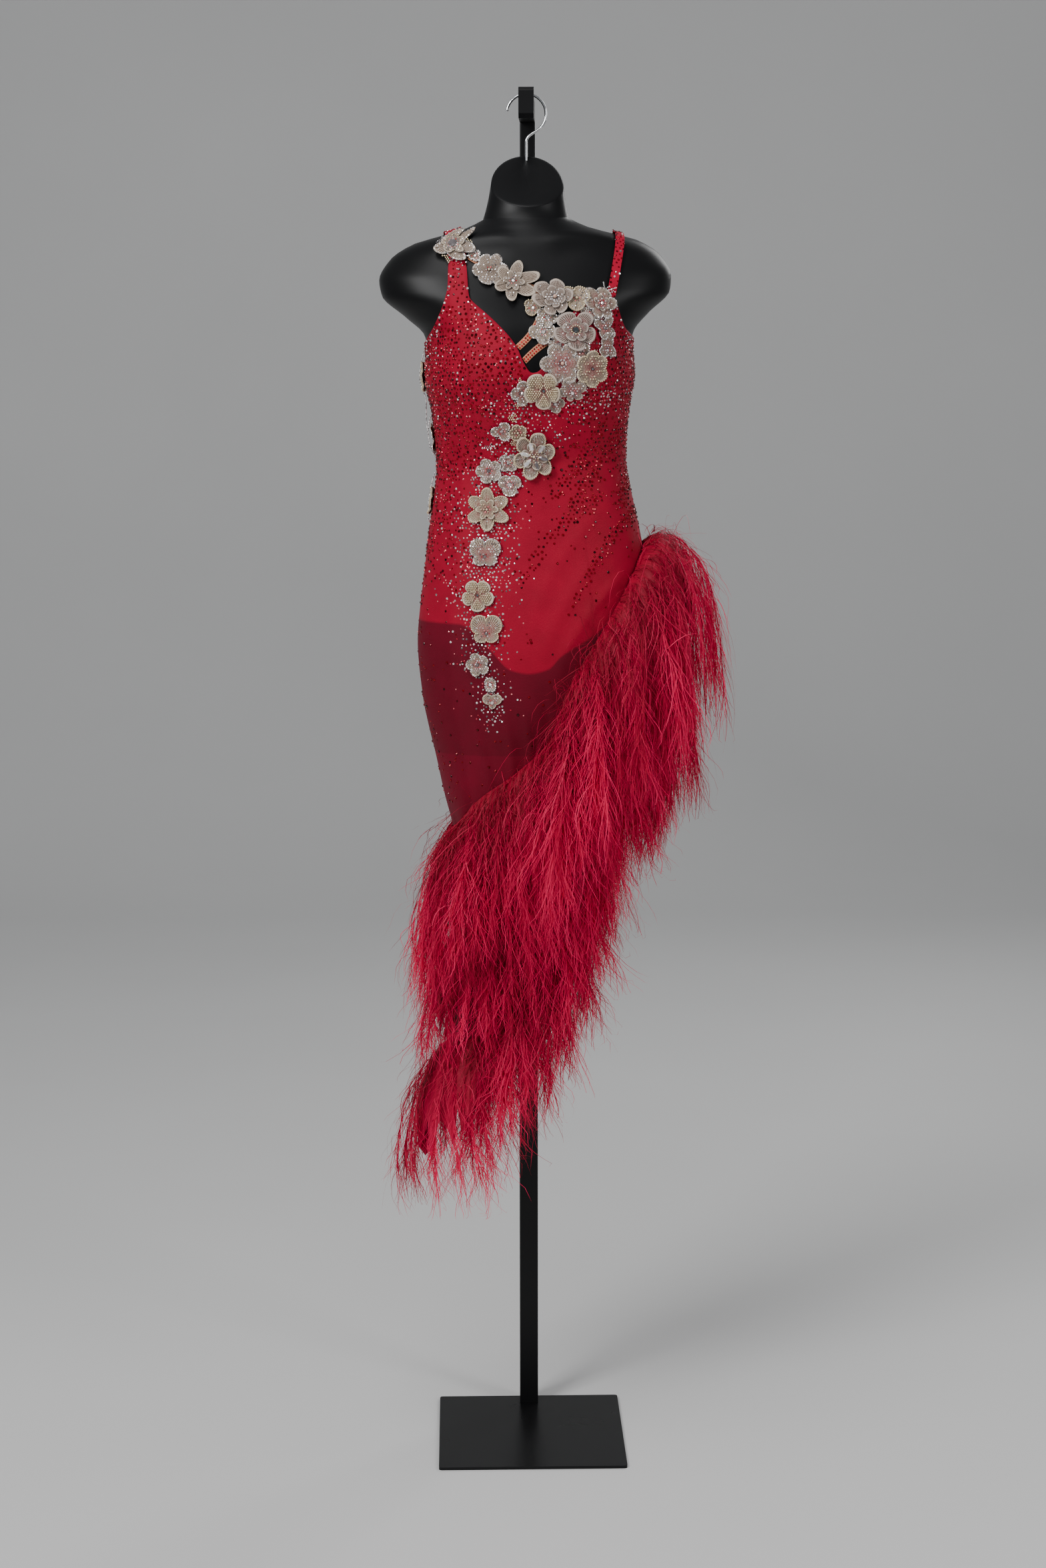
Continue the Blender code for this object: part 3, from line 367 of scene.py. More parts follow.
def scatter(name, centres, normals, sizes, shape, finish, rng, tilt=0.0, soft=False, ahead=None):
    """Copies of one small shape (points, faces), each scaled, tilted, turned about its normal and placed.

    The turn is by chance, or lays the shape's first axis towards the way ahead.
    """
    points, faces = shape
    normals = unit(unit(normals) + rng.normal(0, 1, centres.shape) * tilt)
    helper = np.where(np.abs(normals[:, 2:]) < 0.9, [[0.0, 0.0, 1.0]], [[1.0, 0.0, 0.0]])
    first = unit(np.cross(helper, normals))
    second = np.cross(normals, first)
    angle = rng.uniform(0, 2 * pi, (len(centres), 1))
    right = first * np.cos(angle) + second * np.sin(angle)
    if ahead is not None:
        right = unit(ahead - normals * (ahead * normals).sum(axis=1, keepdims=True))
    basis = np.stack([right, np.cross(normals, right), normals], axis=1)
    placed = centres[:, None] + np.einsum("pk,nkd->npd", points, basis) * sizes[:, None, None]
    tris = (faces[None] + len(points) * np.arange(len(centres))[:, None, None]).reshape(-1, 3)
    values = {"tone": np.repeat(rng.uniform(0, 1, len(centres)), len(points))}
    return piece(name, placed.reshape(-1, 3), tris=tris, finish=finish, values=values, soft=soft)


# Height of a pearl's middle over the surface, in its own radius
PEARL_MIDDLE = 0.9
# Tilt by chance of stones and of pearls
STONE_TILT, PEARL_TILT = 0.16, 0.05


def cut_stone(sides=6, table=0.60, height=0.55):
    """Round stone of radius 1: a girdle, a crown of triangles, a flat table and a flat foot."""
    angle = np.arange(sides) * 2 * pi / sides
    girdle = np.stack([np.cos(angle), np.sin(angle), 0 * angle], axis=1)
    top = np.stack([table * np.cos(angle + pi / sides), table * np.sin(angle + pi / sides),
                    np.full(sides, height)], axis=1)
    k, n = ring_pairs(sides)
    crown = np.concatenate([np.stack([k, n, k + sides], 1), np.stack([n, n + sides, k + sides], 1)])
    fan = np.arange(1, sides - 1)
    table_faces = np.stack([0 * fan + sides, fan + sides, fan + 1 + sides], 1)
    foot = np.stack([0 * fan, fan + 1, fan], 1)
    return np.concatenate([girdle, top]), np.concatenate([crown, table_faces, foot])


def pearl(sides=7, rings=3):
    """Ball of radius 1 that rests on the surface: rings of points between two poles."""
    lat = np.arange(1, rings + 1) * pi / (rings + 1)
    lon = np.arange(sides) * 2 * pi / sides
    ring = np.stack([np.outer(np.sin(lat), np.cos(lon)), np.outer(np.sin(lat), np.sin(lon)),
                     np.outer(np.cos(lat), np.ones(sides))], axis=-1).reshape(-1, 3)
    points = np.concatenate([[[0, 0, 1.0]], ring, [[0, 0, -1.0]]]) + [0, 0, PEARL_MIDDLE]
    quads = grid_quads(rings, sides, True, 1)
    k, n = ring_pairs(sides)
    last = len(points) - 1
    faces = np.concatenate([quads[:, [0, 1, 2]], quads[:, [0, 2, 3]], np.stack([0 * k, 1 + k, 1 + n], 1),
                            np.stack([0 * k + last, last - sides + n, last - sides + k], 1)])
    return points, faces


STONE = cut_stone()
PLAIN_STONE = cut_stone(5)
PEARL = pearl()


# Finishes -----------------------------------------------------------------------------------------

# Reds of the mesh over the lining, hanging free and over the black form, and the threads' pitch
BRIGHT_RED, FREE_RED, FORM_RED = (0.460, 0.0016, 0.030), (0.230, 0.0008, 0.020), (0.185, 0.0005, 0.016)
MESH_PITCH = 0.0016


class Value:
    """A node's output that takes part in sums and products."""

    def __init__(self, finish, socket):
        self.finish, self.socket = finish, socket

    def math(self, operation, *others):
        """A Math node on this value and the others."""
        return self.finish.node("Math", {"operation": operation}, dict(enumerate([self, *others])))

    def __add__(self, other):
        return self.math("ADD", other)

    def __mul__(self, other):
        return self.math("MULTIPLY", other)

    def __sub__(self, other):
        return self.math("SUBTRACT", other)

    def __rsub__(self, other):
        return self.finish.node("Math", {"operation": "SUBTRACT"}, {0: other, 1: self})

    __radd__, __rmul__ = __add__, __mul__

    def wave(self, period):
        """0 to 1 and back in each period."""
        return (self * (2 * pi / period)).math("SINE") * 0.5 + 0.5

    def between(self, low, high):
        """0 below low, 1 above high and a soft step in between."""
        return self.finish.node("MapRange", {"interpolation_type": "SMOOTHSTEP"},
                                {"Value": self, "From Min": low, "From Max": high})


class Finish:
    """A material: the Principled shader's constant values, and the nodes that feed it."""

    def __init__(self, name, colour, roughness, **constants):
        self.material = bpy.data.materials.new(name)
        self.material.use_nodes = True
        self.tree = self.material.node_tree
        self.shader = self.tree.nodes["Principled BSDF"]
        named = {key.replace("_", " "): value for key, value in constants.items()}
        self.feed(self.shader, {"Base Color": (*colour, 1), "Roughness": roughness, **named})

    def feed(self, node, values):
        """Links or plain values for a node's sockets."""
        for key, value in values.items():
            if isinstance(value, Value):
                self.tree.links.new(value.socket, node.inputs[key])
            else:
                node.inputs[key].default_value = value

    def node(self, kind, settings=None, values=None, out=0):
        """A node's output: its settings are made first, then its sockets' values or links."""
        made = self.tree.nodes.new("ShaderNode" + kind)
        for key, value in (settings or {}).items():
            setattr(made, key, value)
        self.feed(made, values or {})
        return Value(self, made.outputs[out])

    def shade(self, **values):
        """Links or plain values for the shader's sockets, a space in a name written as _."""
        self.feed(self.shader, {key.replace("_", " "): value for key, value in values.items()})

    def place(self):
        """Object coordinates, in metres."""
        return self.node("TexCoord", out="Object")

    def cut(self):
        """The piece's own UV map, apart: across and along the cloth in metres."""
        both = self.node("UVMap", {"uv_map": "cut"})
        return (self.node("SeparateXYZ", values={0: both}, out=k) for k in (0, 1))

    def noise(self, scale, detail=3.0):
        """Cloud of 0 to 1, with scale patches to the metre."""
        return self.node("TexNoise", values={"Vector": self.place(), "Scale": scale, "Detail": detail,
                                             "Roughness": 0.5})

    def mix(self, share, first, second, kind="MIX"):
        """Colour between two colours, or by kind the first one times the second."""
        colours = [c if isinstance(c, Value) else (*c, 1) for c in (first, second)]
        return self.node("Mix", {"data_type": "RGBA", "blend_type": kind},
                         {0: share, 6: colours[0], 7: colours[1]}, out=2)

    def read(self, name):
        """A number that the piece keeps for each point."""
        return self.node("Attribute", {"attribute_name": name}, out="Fac")

    def bump(self, height, depth, strength=1.0):
        """Relief of the surface: height runs from 0 to 1 and depth is in metres."""
        made = self.node("Bump", values={"Height": height, "Distance": depth, "Strength": strength})
        self.shade(Normal=made)


def red_mesh_finish():
    """Stretch mesh with diagonal threads: bright over the lining, deep over the bare black form."""
    made = Finish("crimson stretch mesh", BRIGHT_RED, 0.6, Sheen_Weight=0.05, Sheen_Roughness=0.4,
                  Sheen_Tint=(1.0, 0.15, 0.3, 1), Specular_IOR_Level=0.18)
    across, along = made.cut()
    threads = (across + along).wave(MESH_PITCH) * (across - along).wave(MESH_PITCH)
    cloud = made.noise(34.0, 4.0)
    lined = made.read("over_leg").between(-0.0025, 0.0025)
    on_form = made.read("over_foot").between(-0.0010, 0.0010)
    sheer = made.mix(on_form, FREE_RED, FORM_RED)
    plain = made.mix(lined, sheer, BRIGHT_RED)
    worn = made.mix(threads * 0.35 + cloud * 0.45, (0.52, 0.40, 0.50), (1.22, 1.3, 1.25))
    made.shade(Base_Color=made.mix(1.0, plain, worn, "MULTIPLY"), Roughness=cloud * 0.2 + 0.5)
    made.bump(threads, 0.00025, 0.6)
    return made


def grain_finish(name, low, high, roughness):
    """Close-woven cloth: one colour with a fine grain."""
    made = Finish(name, high, roughness, Specular_IOR_Level=0.2)
    grain = made.noise(1100.0, 2.0)
    made.shade(Base_Color=made.mix(grain, low, high))
    made.bump(grain, 0.0002, 0.5)
    return made


def lace_finish():
    """Embroidered net: threads that fan out over each petal and a corded rim, mauve to cream by the tint."""
    made = Finish("beaded lace", (0.45, 0.38, 0.36), 0.55, Specular_IOR_Level=0.35)
    rim, petal, tint = made.read("rim"), made.read("petal"), made.read("tint")
    cloud = made.noise(420.0, 3.0)
    threads = ((petal + cloud * 0.05).wave(0.083) * 0.75 + rim.wave(0.13) * 0.25).between(0.30, 0.70)
    cord = rim.between(0.84, 0.93)
    shown = (threads * 0.8 + cord).math("MINIMUM", 1.0)
    net = made.mix(tint, (0.115, 0.070, 0.055), (0.21, 0.140, 0.090))
    see_red = made.read("on_cloth") * (1.0 - rim.between(0.3, 0.85))
    red_net = made.mix(see_red, net, (0.26, 0.020, 0.035))
    thread = made.mix(tint, (0.43, 0.355, 0.31), (0.64, 0.54, 0.40))
    made.shade(Base_Color=made.mix(shown, red_net, thread), Roughness=0.7 - shown * 0.2)
    made.bump(shown, 0.0004, 0.9)
    return made


def pearl_finish(name, low, high):
    """Coated glass pearl: a tone of its own under a clear coat."""
    made = Finish(name, high, 0.22, Coat_Weight=0.6, Coat_Roughness=0.08, Sheen_Weight=0.2)
    tone = made.read("tone")
    made.shade(Base_Color=made.mix(tone, low, high), Roughness=tone * 0.12 + 0.18)
    return made


def stone_finish(name, low, high, metallic, coat):
    """Foiled glass stone: a tone of its own, a mirror-like foil and a clear coat."""
    made = Finish(name, high, 0.1, Metallic=metallic, Coat_Weight=coat, Coat_Roughness=0.03,
                  Specular_IOR_Level=0.3)
    tone = made.read("tone")
    made.shade(Base_Color=made.mix(tone.between(0.05, 0.70), low, high), Roughness=tone * 0.12 + 0.08)
    return made


def feather_finish():
    """Barbs: a painted shade, deep at the crowded root and lifting to a brighter red at the tip; each plume a
    little apart in tone.
    """
    made = Finish("ostrich feather", (0.50, 0.001, 0.03), 0.6, Sheen_Weight=0.10, Sheen_Roughness=0.35,
                  Sheen_Tint=(1.0, 0.15, 0.3, 1), Specular_IOR_Level=0.25)
    along, tone = made.read("along"), made.read("tone")
    deep = made.mix(tone, (0.18, 0.0004, 0.011), (0.42, 0.0010, 0.030))
    bright = made.mix(tone, (0.44, 0.0010, 0.034), (0.94, 0.0060, 0.110))
    # Painted shade: along runs from the root's deep red to the tip's brighter red
    made.shade(Base_Color=made.mix(along.between(0.0, 0.9), deep, bright), Roughness=0.7 - tone * 0.2)
    return made


def form_finish():
    """Satin black plastic with a fine grain and broad duller patches."""
    made = Finish("black form plastic", (0.006, 0.006, 0.006), 0.42, Specular_IOR_Level=0.20)
    fine, broad = made.noise(1400.0, 2.0), made.noise(9.0, 2.0)
    made.shade(Roughness=fine * 0.06 + broad * 0.12 + 0.30,
               Base_Color=made.mix(broad, (0.003, 0.003, 0.003), (0.006, 0.006, 0.007)))
    made.bump(fine, 0.00012, 0.35)
    return made


def steel_finish(name, low, high, grain):
    """Black coated steel: its roughness wanders from low to high, over a fine grain."""
    made = Finish(name, (0.008, 0.008, 0.008), low, Specular_IOR_Level=0.16)
    fine, broad = made.noise(grain, 2.0), made.noise(6.0, 4.0)
    made.shade(Roughness=broad * (high - low) + low,
               Base_Color=made.mix(broad, (0.005, 0.005, 0.005), (0.011, 0.011, 0.012)))
    made.bump(fine, 0.0001, 0.3)
    return made


def chrome_finish():
    """Chrome wire with a roughness that varies a little."""
    made = Finish("chrome wire", (0.78, 0.79, 0.80), 0.1, Metallic=1.0)
    broad = made.noise(300.0, 3.0)
    made.shade(Roughness=broad * 0.15 + 0.05)
    return made


def floor_finish(name, low, high):
    """Plain floor in two near tones."""
    made = Finish(name, high, 0.6)
    made.shade(Base_Color=made.mix(made.noise(1.5, 3.0), low, high))
    return made


MESH_RED = red_mesh_finish()
LINING = grain_finish("crimson lining", (0.40, 0.0012, 0.035), (0.56, 0.003, 0.060), 0.6)
NUDE = grain_finish("nude elastic", (0.42, 0.17, 0.095), (0.62, 0.29, 0.17), 0.6)
LACE = lace_finish()
STRAP_RED = grain_finish("crimson doubled mesh", (0.32, 0.001, 0.021), (0.50, 0.002, 0.034), 0.6)
CREAM_PEARL = pearl_finish("cream pearl", (0.58, 0.45, 0.26), (0.82, 0.69, 0.47))
PEACH_PEARL = pearl_finish("peach pearl", (0.60, 0.32, 0.22), (0.76, 0.46, 0.34))
SIAM = stone_finish("dark siam stone", (0.030, 0.0, 0.001), (0.26, 0.002, 0.008), 0.5, 0.2)
RED_STONE = stone_finish("siam stone", (0.20, 0.001, 0.008), (0.70, 0.020, 0.030), 0.4, 0.5)
LIGHT_SIAM = stone_finish("light siam stone", (0.55, 0.010, 0.040), (0.95, 0.26, 0.28), 0.3, 0.8)
CLEAR = stone_finish("clear stone", (0.22, 0.19, 0.20), (1.0, 0.97, 0.96), 0.6, 1.0)
SMOKE = stone_finish("smoky stone", (0.06, 0.075, 0.085), (0.20, 0.23, 0.24), 0.6, 1.0)
FEATHER = feather_finish()
FORM = form_finish()
POLE = steel_finish("satin black steel", 0.28, 0.42, 900.0)
PLATE = steel_finish("gloss black plate", 0.22, 0.36, 500.0)
CHROME = chrome_finish()


# Dress form ---------------------------------------------------------------------------------------

# Soft bones of the upper chest: start and end (across, height), half width and height
BONES = (
    (0.018, 1.628, 0.120, 1.622, 0.0070, 0.0026),
    (0.030, 1.612, 0.120, 1.604, 0.0100, -0.0016),
)


# A ridge's bow as a share of its length, and the shares over which it starts and ends
RIDGE_BOW, RIDGE_START, RIDGE_END = 0.06, (-0.08, 0.25), (0.75, 1.08)


def ridge_height(x, z, lines):
    """Sum of soft ridges: a bell across each line, faded out at the line's two ends."""
    total = np.zeros(np.broadcast(x, z).shape)
    for x0, z0, x1, z1, width, height in lines:
        run = np.array([x1 - x0, z1 - z0])
        length = np.linalg.norm(run)
        run = run / length
        along = ((x - x0) * run[0] + (z - z0) * run[1]) / length
        aside = (x - x0) * -run[1] + (z - z0) * run[0]
        bow = RIDGE_BOW * length * np.sin(pi * np.clip(along, 0, 1))
        fade = soft_step(along, *RIDGE_START) * (1 - soft_step(along, *RIDGE_END))
        total = total + height * fade * np.exp(-((aside - bow) / width) ** 2)
    return total


# Rings of the form: points in each, rings of the trunk, steps round the foot's edge and of the neck
FORM_SIDES, TRUNK_RINGS, FOOT_STEPS, NECK_RINGS = 120, 120, (0.0, 0.3, 0.6, 0.85), 25
LIP_IN, LIP_UP = 0.0022, 0.0006


def form_skin():
    """Rings of the body from a rounded foot to the shoulders, lofted on to the slanted cut of the neck.

    The foot's edge is a quarter of a circle, the neck a straight loft drawn in by a half wave of the sine,
    and the cut is closed by a small lip and a low cone.
    """
    sides = FORM_SIDES
    turns = np.linspace(0, 2 * pi, sides, endpoint=False)
    heights = np.linspace(FORM_BOTTOM + FORM_ROUNDING, SHAPE["height"][-1], TRUNK_RINGS)
    turn, z = np.meshgrid(turns, heights)
    x = body(turn, z)[..., 0]
    front = soft_step(np.cos(turn), 0.0, 0.3)
    trunk = layer(turn, z, ridge_height(np.abs(x), z, BONES) * front)
    foot = []
    for share in FOOT_STEPS:
        inset = FORM_ROUNDING * (1 - sin(share * pi / 2))
        ring = layer(turns, np.full(sides, heights[0]), np.full(sides, -inset))
        ring[:, 2] = heights[0] - FORM_ROUNDING * cos(share * pi / 2)
        foot.append(ring)
    base = trunk[-1]
    slope = (CUT_HIGH - CUT_LOW) / (NECK_FRONT + NECK_BACK)
    depth = np.where(np.cos(turns) > 0, -NECK_FRONT, -NECK_BACK)
    top_x, top_y = NECK_HALF * np.sin(turns) + NECK_SHIFT, depth * np.cos(turns)
    top = np.stack([top_x, top_y, CUT_LOW + slope * (top_y + NECK_FRONT)], axis=-1)
    shares = np.linspace(0, 1, NECK_RINGS + 1)[1:, None, None]
    neck = base + (top - base) * shares
    neck[..., :2] *= 1 - NECK_HOLLOW * np.sin(pi * shares)
    middle = top.mean(axis=0)
    peak = middle + [0, 0, 2 * LIP_UP]
    lip = np.array([middle + (top - middle) * (1 - LIP_IN * k / NECK_HALF) + [0, 0, LIP_UP * k]
                    for k in (1, 2)])
    cap = np.array([lip[-1] + (peak - lip[-1]) * share for share in (0.35, 0.7)])
    rings = np.concatenate([np.array(foot), trunk, neck, lip, cap])
    count = len(rings)
    points = np.concatenate([rings.reshape(-1, 3), [rings[0].mean(axis=0), peak]])
    k, n = ring_pairs(sides)
    last = (count - 1) * sides
    low, high = np.full(sides, count * sides), np.full(sides, count * sides + 1)
    tris = np.concatenate([np.stack([low, n, k], 1), np.stack([high, last + k, last + n], 1)])
    return piece("form_skin", world(points), grid_quads(count, sides, True)[:, ::-1], tris, FORM,
                 ("dress_form",))


# Cloth --------------------------------------------------------------------------------------------

def cloth_relief(turn, z):
    """Folds of the front, given in their table, and a few broad ones at the back."""
    x = body(turn, z)[..., 0]
    in_front = soft_step(np.cos(turn), -0.1, 0.2)
    return ridge_height(x, z, FOLDS) * in_front + ridge_height(-x, z, FOLDS[:4]) * (1 - in_front)


def edges_under(turn, z):
    """Height over the briefs' leg line and over the foot of the form, which the finish turns into tones."""
    x = body(turn, z)[..., 0]
    return {"over_leg": z - line_height(BRIEF_EDGE, x), "over_foot": z - FORM_BOTTOM}


# Rows of the panels above and below the waist, columns of the back, and of the front for each edge point
FRONT_ROWS, BACK_ROWS, BACK_COLUMNS, EDGE_COLUMNS = (40, 90), (20, 90), 110, 4


def panel_rows(top, bottom, bodice, skirt):
    """Heights of a panel's rows for each column: edge to waist, then waist to hem."""
    upper = np.linspace(0, 1, bodice + 1)[:, None]
    lower = np.linspace(0, 1, skirt + 1)[1:, None]
    return np.concatenate([top + (WAIST - top) * upper, WAIST + (bottom - WAIST) * lower])


def panel(node, turn, z, shift):
    """Sheet of stretch mesh on the body in place of a packed panel, shifted in Y to part it at the seams."""
    lift = fit(z) + cloth_relief(turn, z)
    made, size, area = sheet_piece(node + "_cloth", turn, z, lift, MESH_RED, (node,),
                                   edges_under(turn, z), shift)


def dress_front():
    """Front panel: columns follow the edge's points in the bodice and fan out evenly at the waist."""
    edge = np.array(FRONT_EDGE)
    at = np.linspace(0, len(edge) - 1, (len(edge) - 1) * EDGE_COLUMNS + 1)
    x_edge, z_edge = (np.interp(at, np.arange(len(edge)), edge[:, k]) for k in (0, 1))
    for _ in range(2):
        for line in (x_edge, z_edge):
            line[1:-1] = (line[:-2] + 2 * line[1:-1] + line[2:]) / 4
    even = np.interp(at, [0, len(edge) - 1], [-pi / 2, pi / 2])
    z = panel_rows(z_edge, reach_line(even, HEM_LINE), *FRONT_ROWS)
    shaped = turn_at(x_edge + 0 * z, z)
    shaped[:, 0], shaped[:, -1] = -pi / 2, pi / 2
    turn = even + (shaped - even) * soft_step(z, WAIST, EASE_TOP)
    panel("dress_front", turn, z, -SEAM / 2)


def back_edge(turn):
    """Height of the back's upper edge: low in the middle and up to the side seams by the sine's cube."""
    return BACK_LOW + (BACK_HIGH - BACK_LOW) * np.abs(np.sin(turn)) ** 3


def dress_back():
    """Back panel: even columns from one side seam round to the other."""
    turns = np.linspace(pi / 2, 3 * pi / 2, BACK_COLUMNS)
    z = panel_rows(back_edge(turns), reach_line(turns, HEM_LINE), *BACK_ROWS)
    panel("dress_back", turns + 0 * z, z, SEAM / 2)


# Lace ---------------------------------------------------------------------------------------------

LACE_THICK = 0.0016
LACE_CROWN = 0.0012
# Flowers: across, height, radius, petals, notch, spin, upper layer's share, heart, beading and tint, which
# runs from 0 mauve to 1 cream
FLOWERS = {
    "shoulder_flower": (-0.0965, 1.6190, 0.0260, 5, 0.30, 20, 0.62, "navette", "cluster", 0.3),
    "band_spray": (-0.0700, 1.6060, 0.0080, 3, 0.30, 0, 0, "clear", "cluster", 0.5),
    "round_flower": (-0.0530, 1.5884, 0.0225, 6, 0.16, 0, 0, "pearl", "rows", 0.3),
    "star_flower": (-0.0235, 1.5721, 0.0275, 6, 0.30, 18, 0.50, "clear", "net", 0.35),
    "link_loops": (0.0010, 1.5400, 0.0115, 3, 0.30, 60, 0, "clear", "loops", 0.8),
    "pearl_eye_flower": (0.0285, 1.5500, 0.0250, 6, 0.20, 10, 0.60, "peach", "net", 0.1),
    "pearl_trefoil": (0.0560, 1.5500, 0.0180, 3, 0.30, 90, 0, "pearl", "loops", 0.9),
    "crystal_spray": (0.0865, 1.5436, 0.0210, 6, 0.25, 0, 0.5, "clear", "cluster", 0.3),
    "oval_flower": (0.0518, 1.5085, 0.0265, 5, 0.22, 90, 0.6, "smoke", "net", 0.0),
    "upper_leaf": (0.0880, 1.5130, 0.0170, 4, 0.40, 60, 0, "clear", "rows", 0.3),
    "lower_leaf": (0.0905, 1.4850, 0.0210, 3, 0.35, 30, 0, "clear", "rows", 0.3),
    "side_loops": (0.0132, 1.5092, 0.0165, 4, 0.25, 0, 0, "clear", "cluster", 0.6),
    "cup_flower": (0.0357, 1.4704, 0.0260, 6, 0.25, 0, 0, "peach", "rows", 0.2),
    "edged_flower": (0.0702, 1.4632, 0.0218, 6, 0.14, 30, 0, "teal", "edge", 0.5),
    "filled_flower": (0.0119, 1.4392, 0.0236, 5, 0.16, 90, 0, "teal", "filled", 0.7),
    "flank_petal": (-0.0160, 1.4357, 0.0160, 4, 0.40, 90, 0, "clear", "rows", 0.4),
    "small_fan": (0.0475, 1.4350, 0.0200, 5, 0.30, 0, 0, "clear", "net", 0.2),
    "clear_leaf": (-0.0413, 1.3884, 0.0140, 3, 0.35, 0, 0, "clear", "rows", 0.5),
    "waist_flower": (-0.0013, 1.3555, 0.0330, 6, 0.38, 15, 0.6, "fan", "edge", 0.3),
    "waist_spray": (-0.0569, 1.3359, 0.0170, 5, 0.22, 0, 0, "clear", "cluster", 0.5),
    "waist_trefoil": (-0.0319, 1.3174, 0.0150, 3, 0.30, 90, 0, "clear", "cluster", 0.5),
    "hip_star": (-0.0597, 1.2861, 0.0285, 6, 0.28, 90, 0.50, "pearl", "edge", 0.9),
    "hip_fan": (-0.0646, 1.2255, 0.0255, 4, 0.30, 45, 0, "clear", "rows", 0.4),
    "hip_flower": (-0.0749, 1.1760, 0.0210, 5, 0.16, 90, 0, "teal", "filled", 0.7),
    "lower_fan": (-0.0654, 1.1276, 0.0255, 4, 0.30, 45, 0, "clear", "loops", 0.6),
    "lower_spray": (-0.0770, 1.0875, 0.0155, 5, 0.22, 0, 0, "clear", "cluster", 0.6),
    "small_leaf": (-0.0618, 1.0615, 0.0095, 2, 0.35, 90, 0, "clear", "cluster", 0.6),
    "end_bell": (-0.0596, 1.0377, 0.0150, 3, 0.30, 90, 0, "clear", "net", 0.7),
}
# The same at the side of the open back, with the turn in degrees in place of the first size
SIDE_LACE = {
    "side_lace_upper": (-99.0, 1.4560, 0.0200, 6, 0.20, 0, 0, "pearl", "edge", 0.5),
    "side_lace_middle": (-98.0, 1.3760, 0.0210, 5, 0.22, 0, 0, "clear", "rows", 0.5),
    "side_lace_lower": (-99.0, 1.2930, 0.0200, 6, 0.20, 0, 0, "pearl", "edge", 0.5),
}
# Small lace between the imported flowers, on the cloth or tied to its neighbours
FILLERS = {
    "filler_keyhole": (0.0185, 1.5265, 0.0145, 5, 0.25, 20, 0, "clear", "cluster", 0.6),
    "filler_bust": (0.0330, 1.4930, 0.0135, 5, 0.22, 0, 0, "clear", "cluster", 0.4),
    "filler_side": (0.0580, 1.4850, 0.0120, 4, 0.25, 30, 0, "clear", "rows", 0.5),
    "filler_edge": (0.0700, 1.5290, 0.0110, 3, 0.30, 60, 0, "clear", "cluster", 0.5),
    "filler_under": (0.0265, 1.4215, 0.0125, 4, 0.25, 10, 0, "clear", "net", 0.3),
    "filler_waist": (-0.0215, 1.3860, 0.0115, 5, 0.18, 0, 0, "pearl", "edge", 0.8),
    "filler_chain": (-0.0330, 1.3460, 0.0130, 4, 0.30, 45, 0, "clear", "cluster", 0.5),
}
# Pointed flowers, by the power of their petals' outline; the rest are round
POINTED = {"star_flower": 1.1, "hip_star": 1.1, "end_bell": 1.2, "upper_leaf": 1.2, "lower_leaf": 1.1,
           "clear_leaf": 1.2, "shoulder_flower": 0.9}
# Fans: flowers whose lower petals are longer than their upper ones
FANS = ("hip_fan", "lower_fan", "small_fan", "end_bell", "lower_leaf")
ROUND = 0.45
SLIT = 0.14
# Beading: pitch of the rim's beads (0 for none), its bead, the filling's pitch, bead, and the share kept
BEADING = {
    "filled": (0.0, "cream", 0.0026, "cream", 1.0),
    "edge": (0.0025, "cream", 0.0034, "cream", 0.55),
    "loops": (0.0024, "cream", 0.0040, "clear", 0.50),
    "rows": (0.0027, "clear", 0.0038, "clear", 0.55),
    "cluster": (0.0029, "clear", 0.0030, "clear", 0.85),
    "net": (0.0, "clear", 0.0036, "clear", 0.70),
}
# Beads: half width, shape, finish
BEADS = {
    "cream": (0.00115, PEARL, CREAM_PEARL),
    "clear": (0.00125, STONE, CLEAR),
    "rose": (0.0011, STONE, LIGHT_SIAM),
    "peach": (0.0027, PEARL, PEACH_PEARL),
    "smoke": (0.0046, STONE, SMOKE),
    "large": (0.0058, STONE, CLEAR),
    "silver": (0.0009, PEARL, CLEAR),
}
# Sizes of the beads on the petals and of those that show between two layers, against the bead's own, and the
# pitch and share of the latter
BEAD_SIZE, UNDER_SIZE, UNDER_PITCH, UNDER_KEPT = 0.95, 0.85, 0.0044, 0.3
# Hearts, ring by ring: bead, its size, how many stand in the ring and the ring's radius
HEARTS = {
    "pearl": (("cream", 1.5, 1, 0.0), ("rose", 1.0, 6, 0.0038)),
    "peach": (("peach", 1.0, 1, 0.0), ("clear", 1.0, 9, 0.0046)),
    "smoke": (("smoke", 1.0, 1, 0.0), ("cream", 1.0, 13, 0.0056)),
    "navette": (("large", 1.0, 1, 0.0), ("rose", 1.0, 9, 0.0066), ("cream", 1.0, 16, 0.0108)),
    "fan": (("cream", 1.7, 1, 0.0), ("clear", 0.9, 6, 0.0036)),
    "teal": (("smoke", 0.45, 1, 0.0),),
    "clear": (("clear", 1.9, 1, 0.0), ("rose", 0.9, 6, 0.0040)),
}
HEART_LIFT = 0.0004
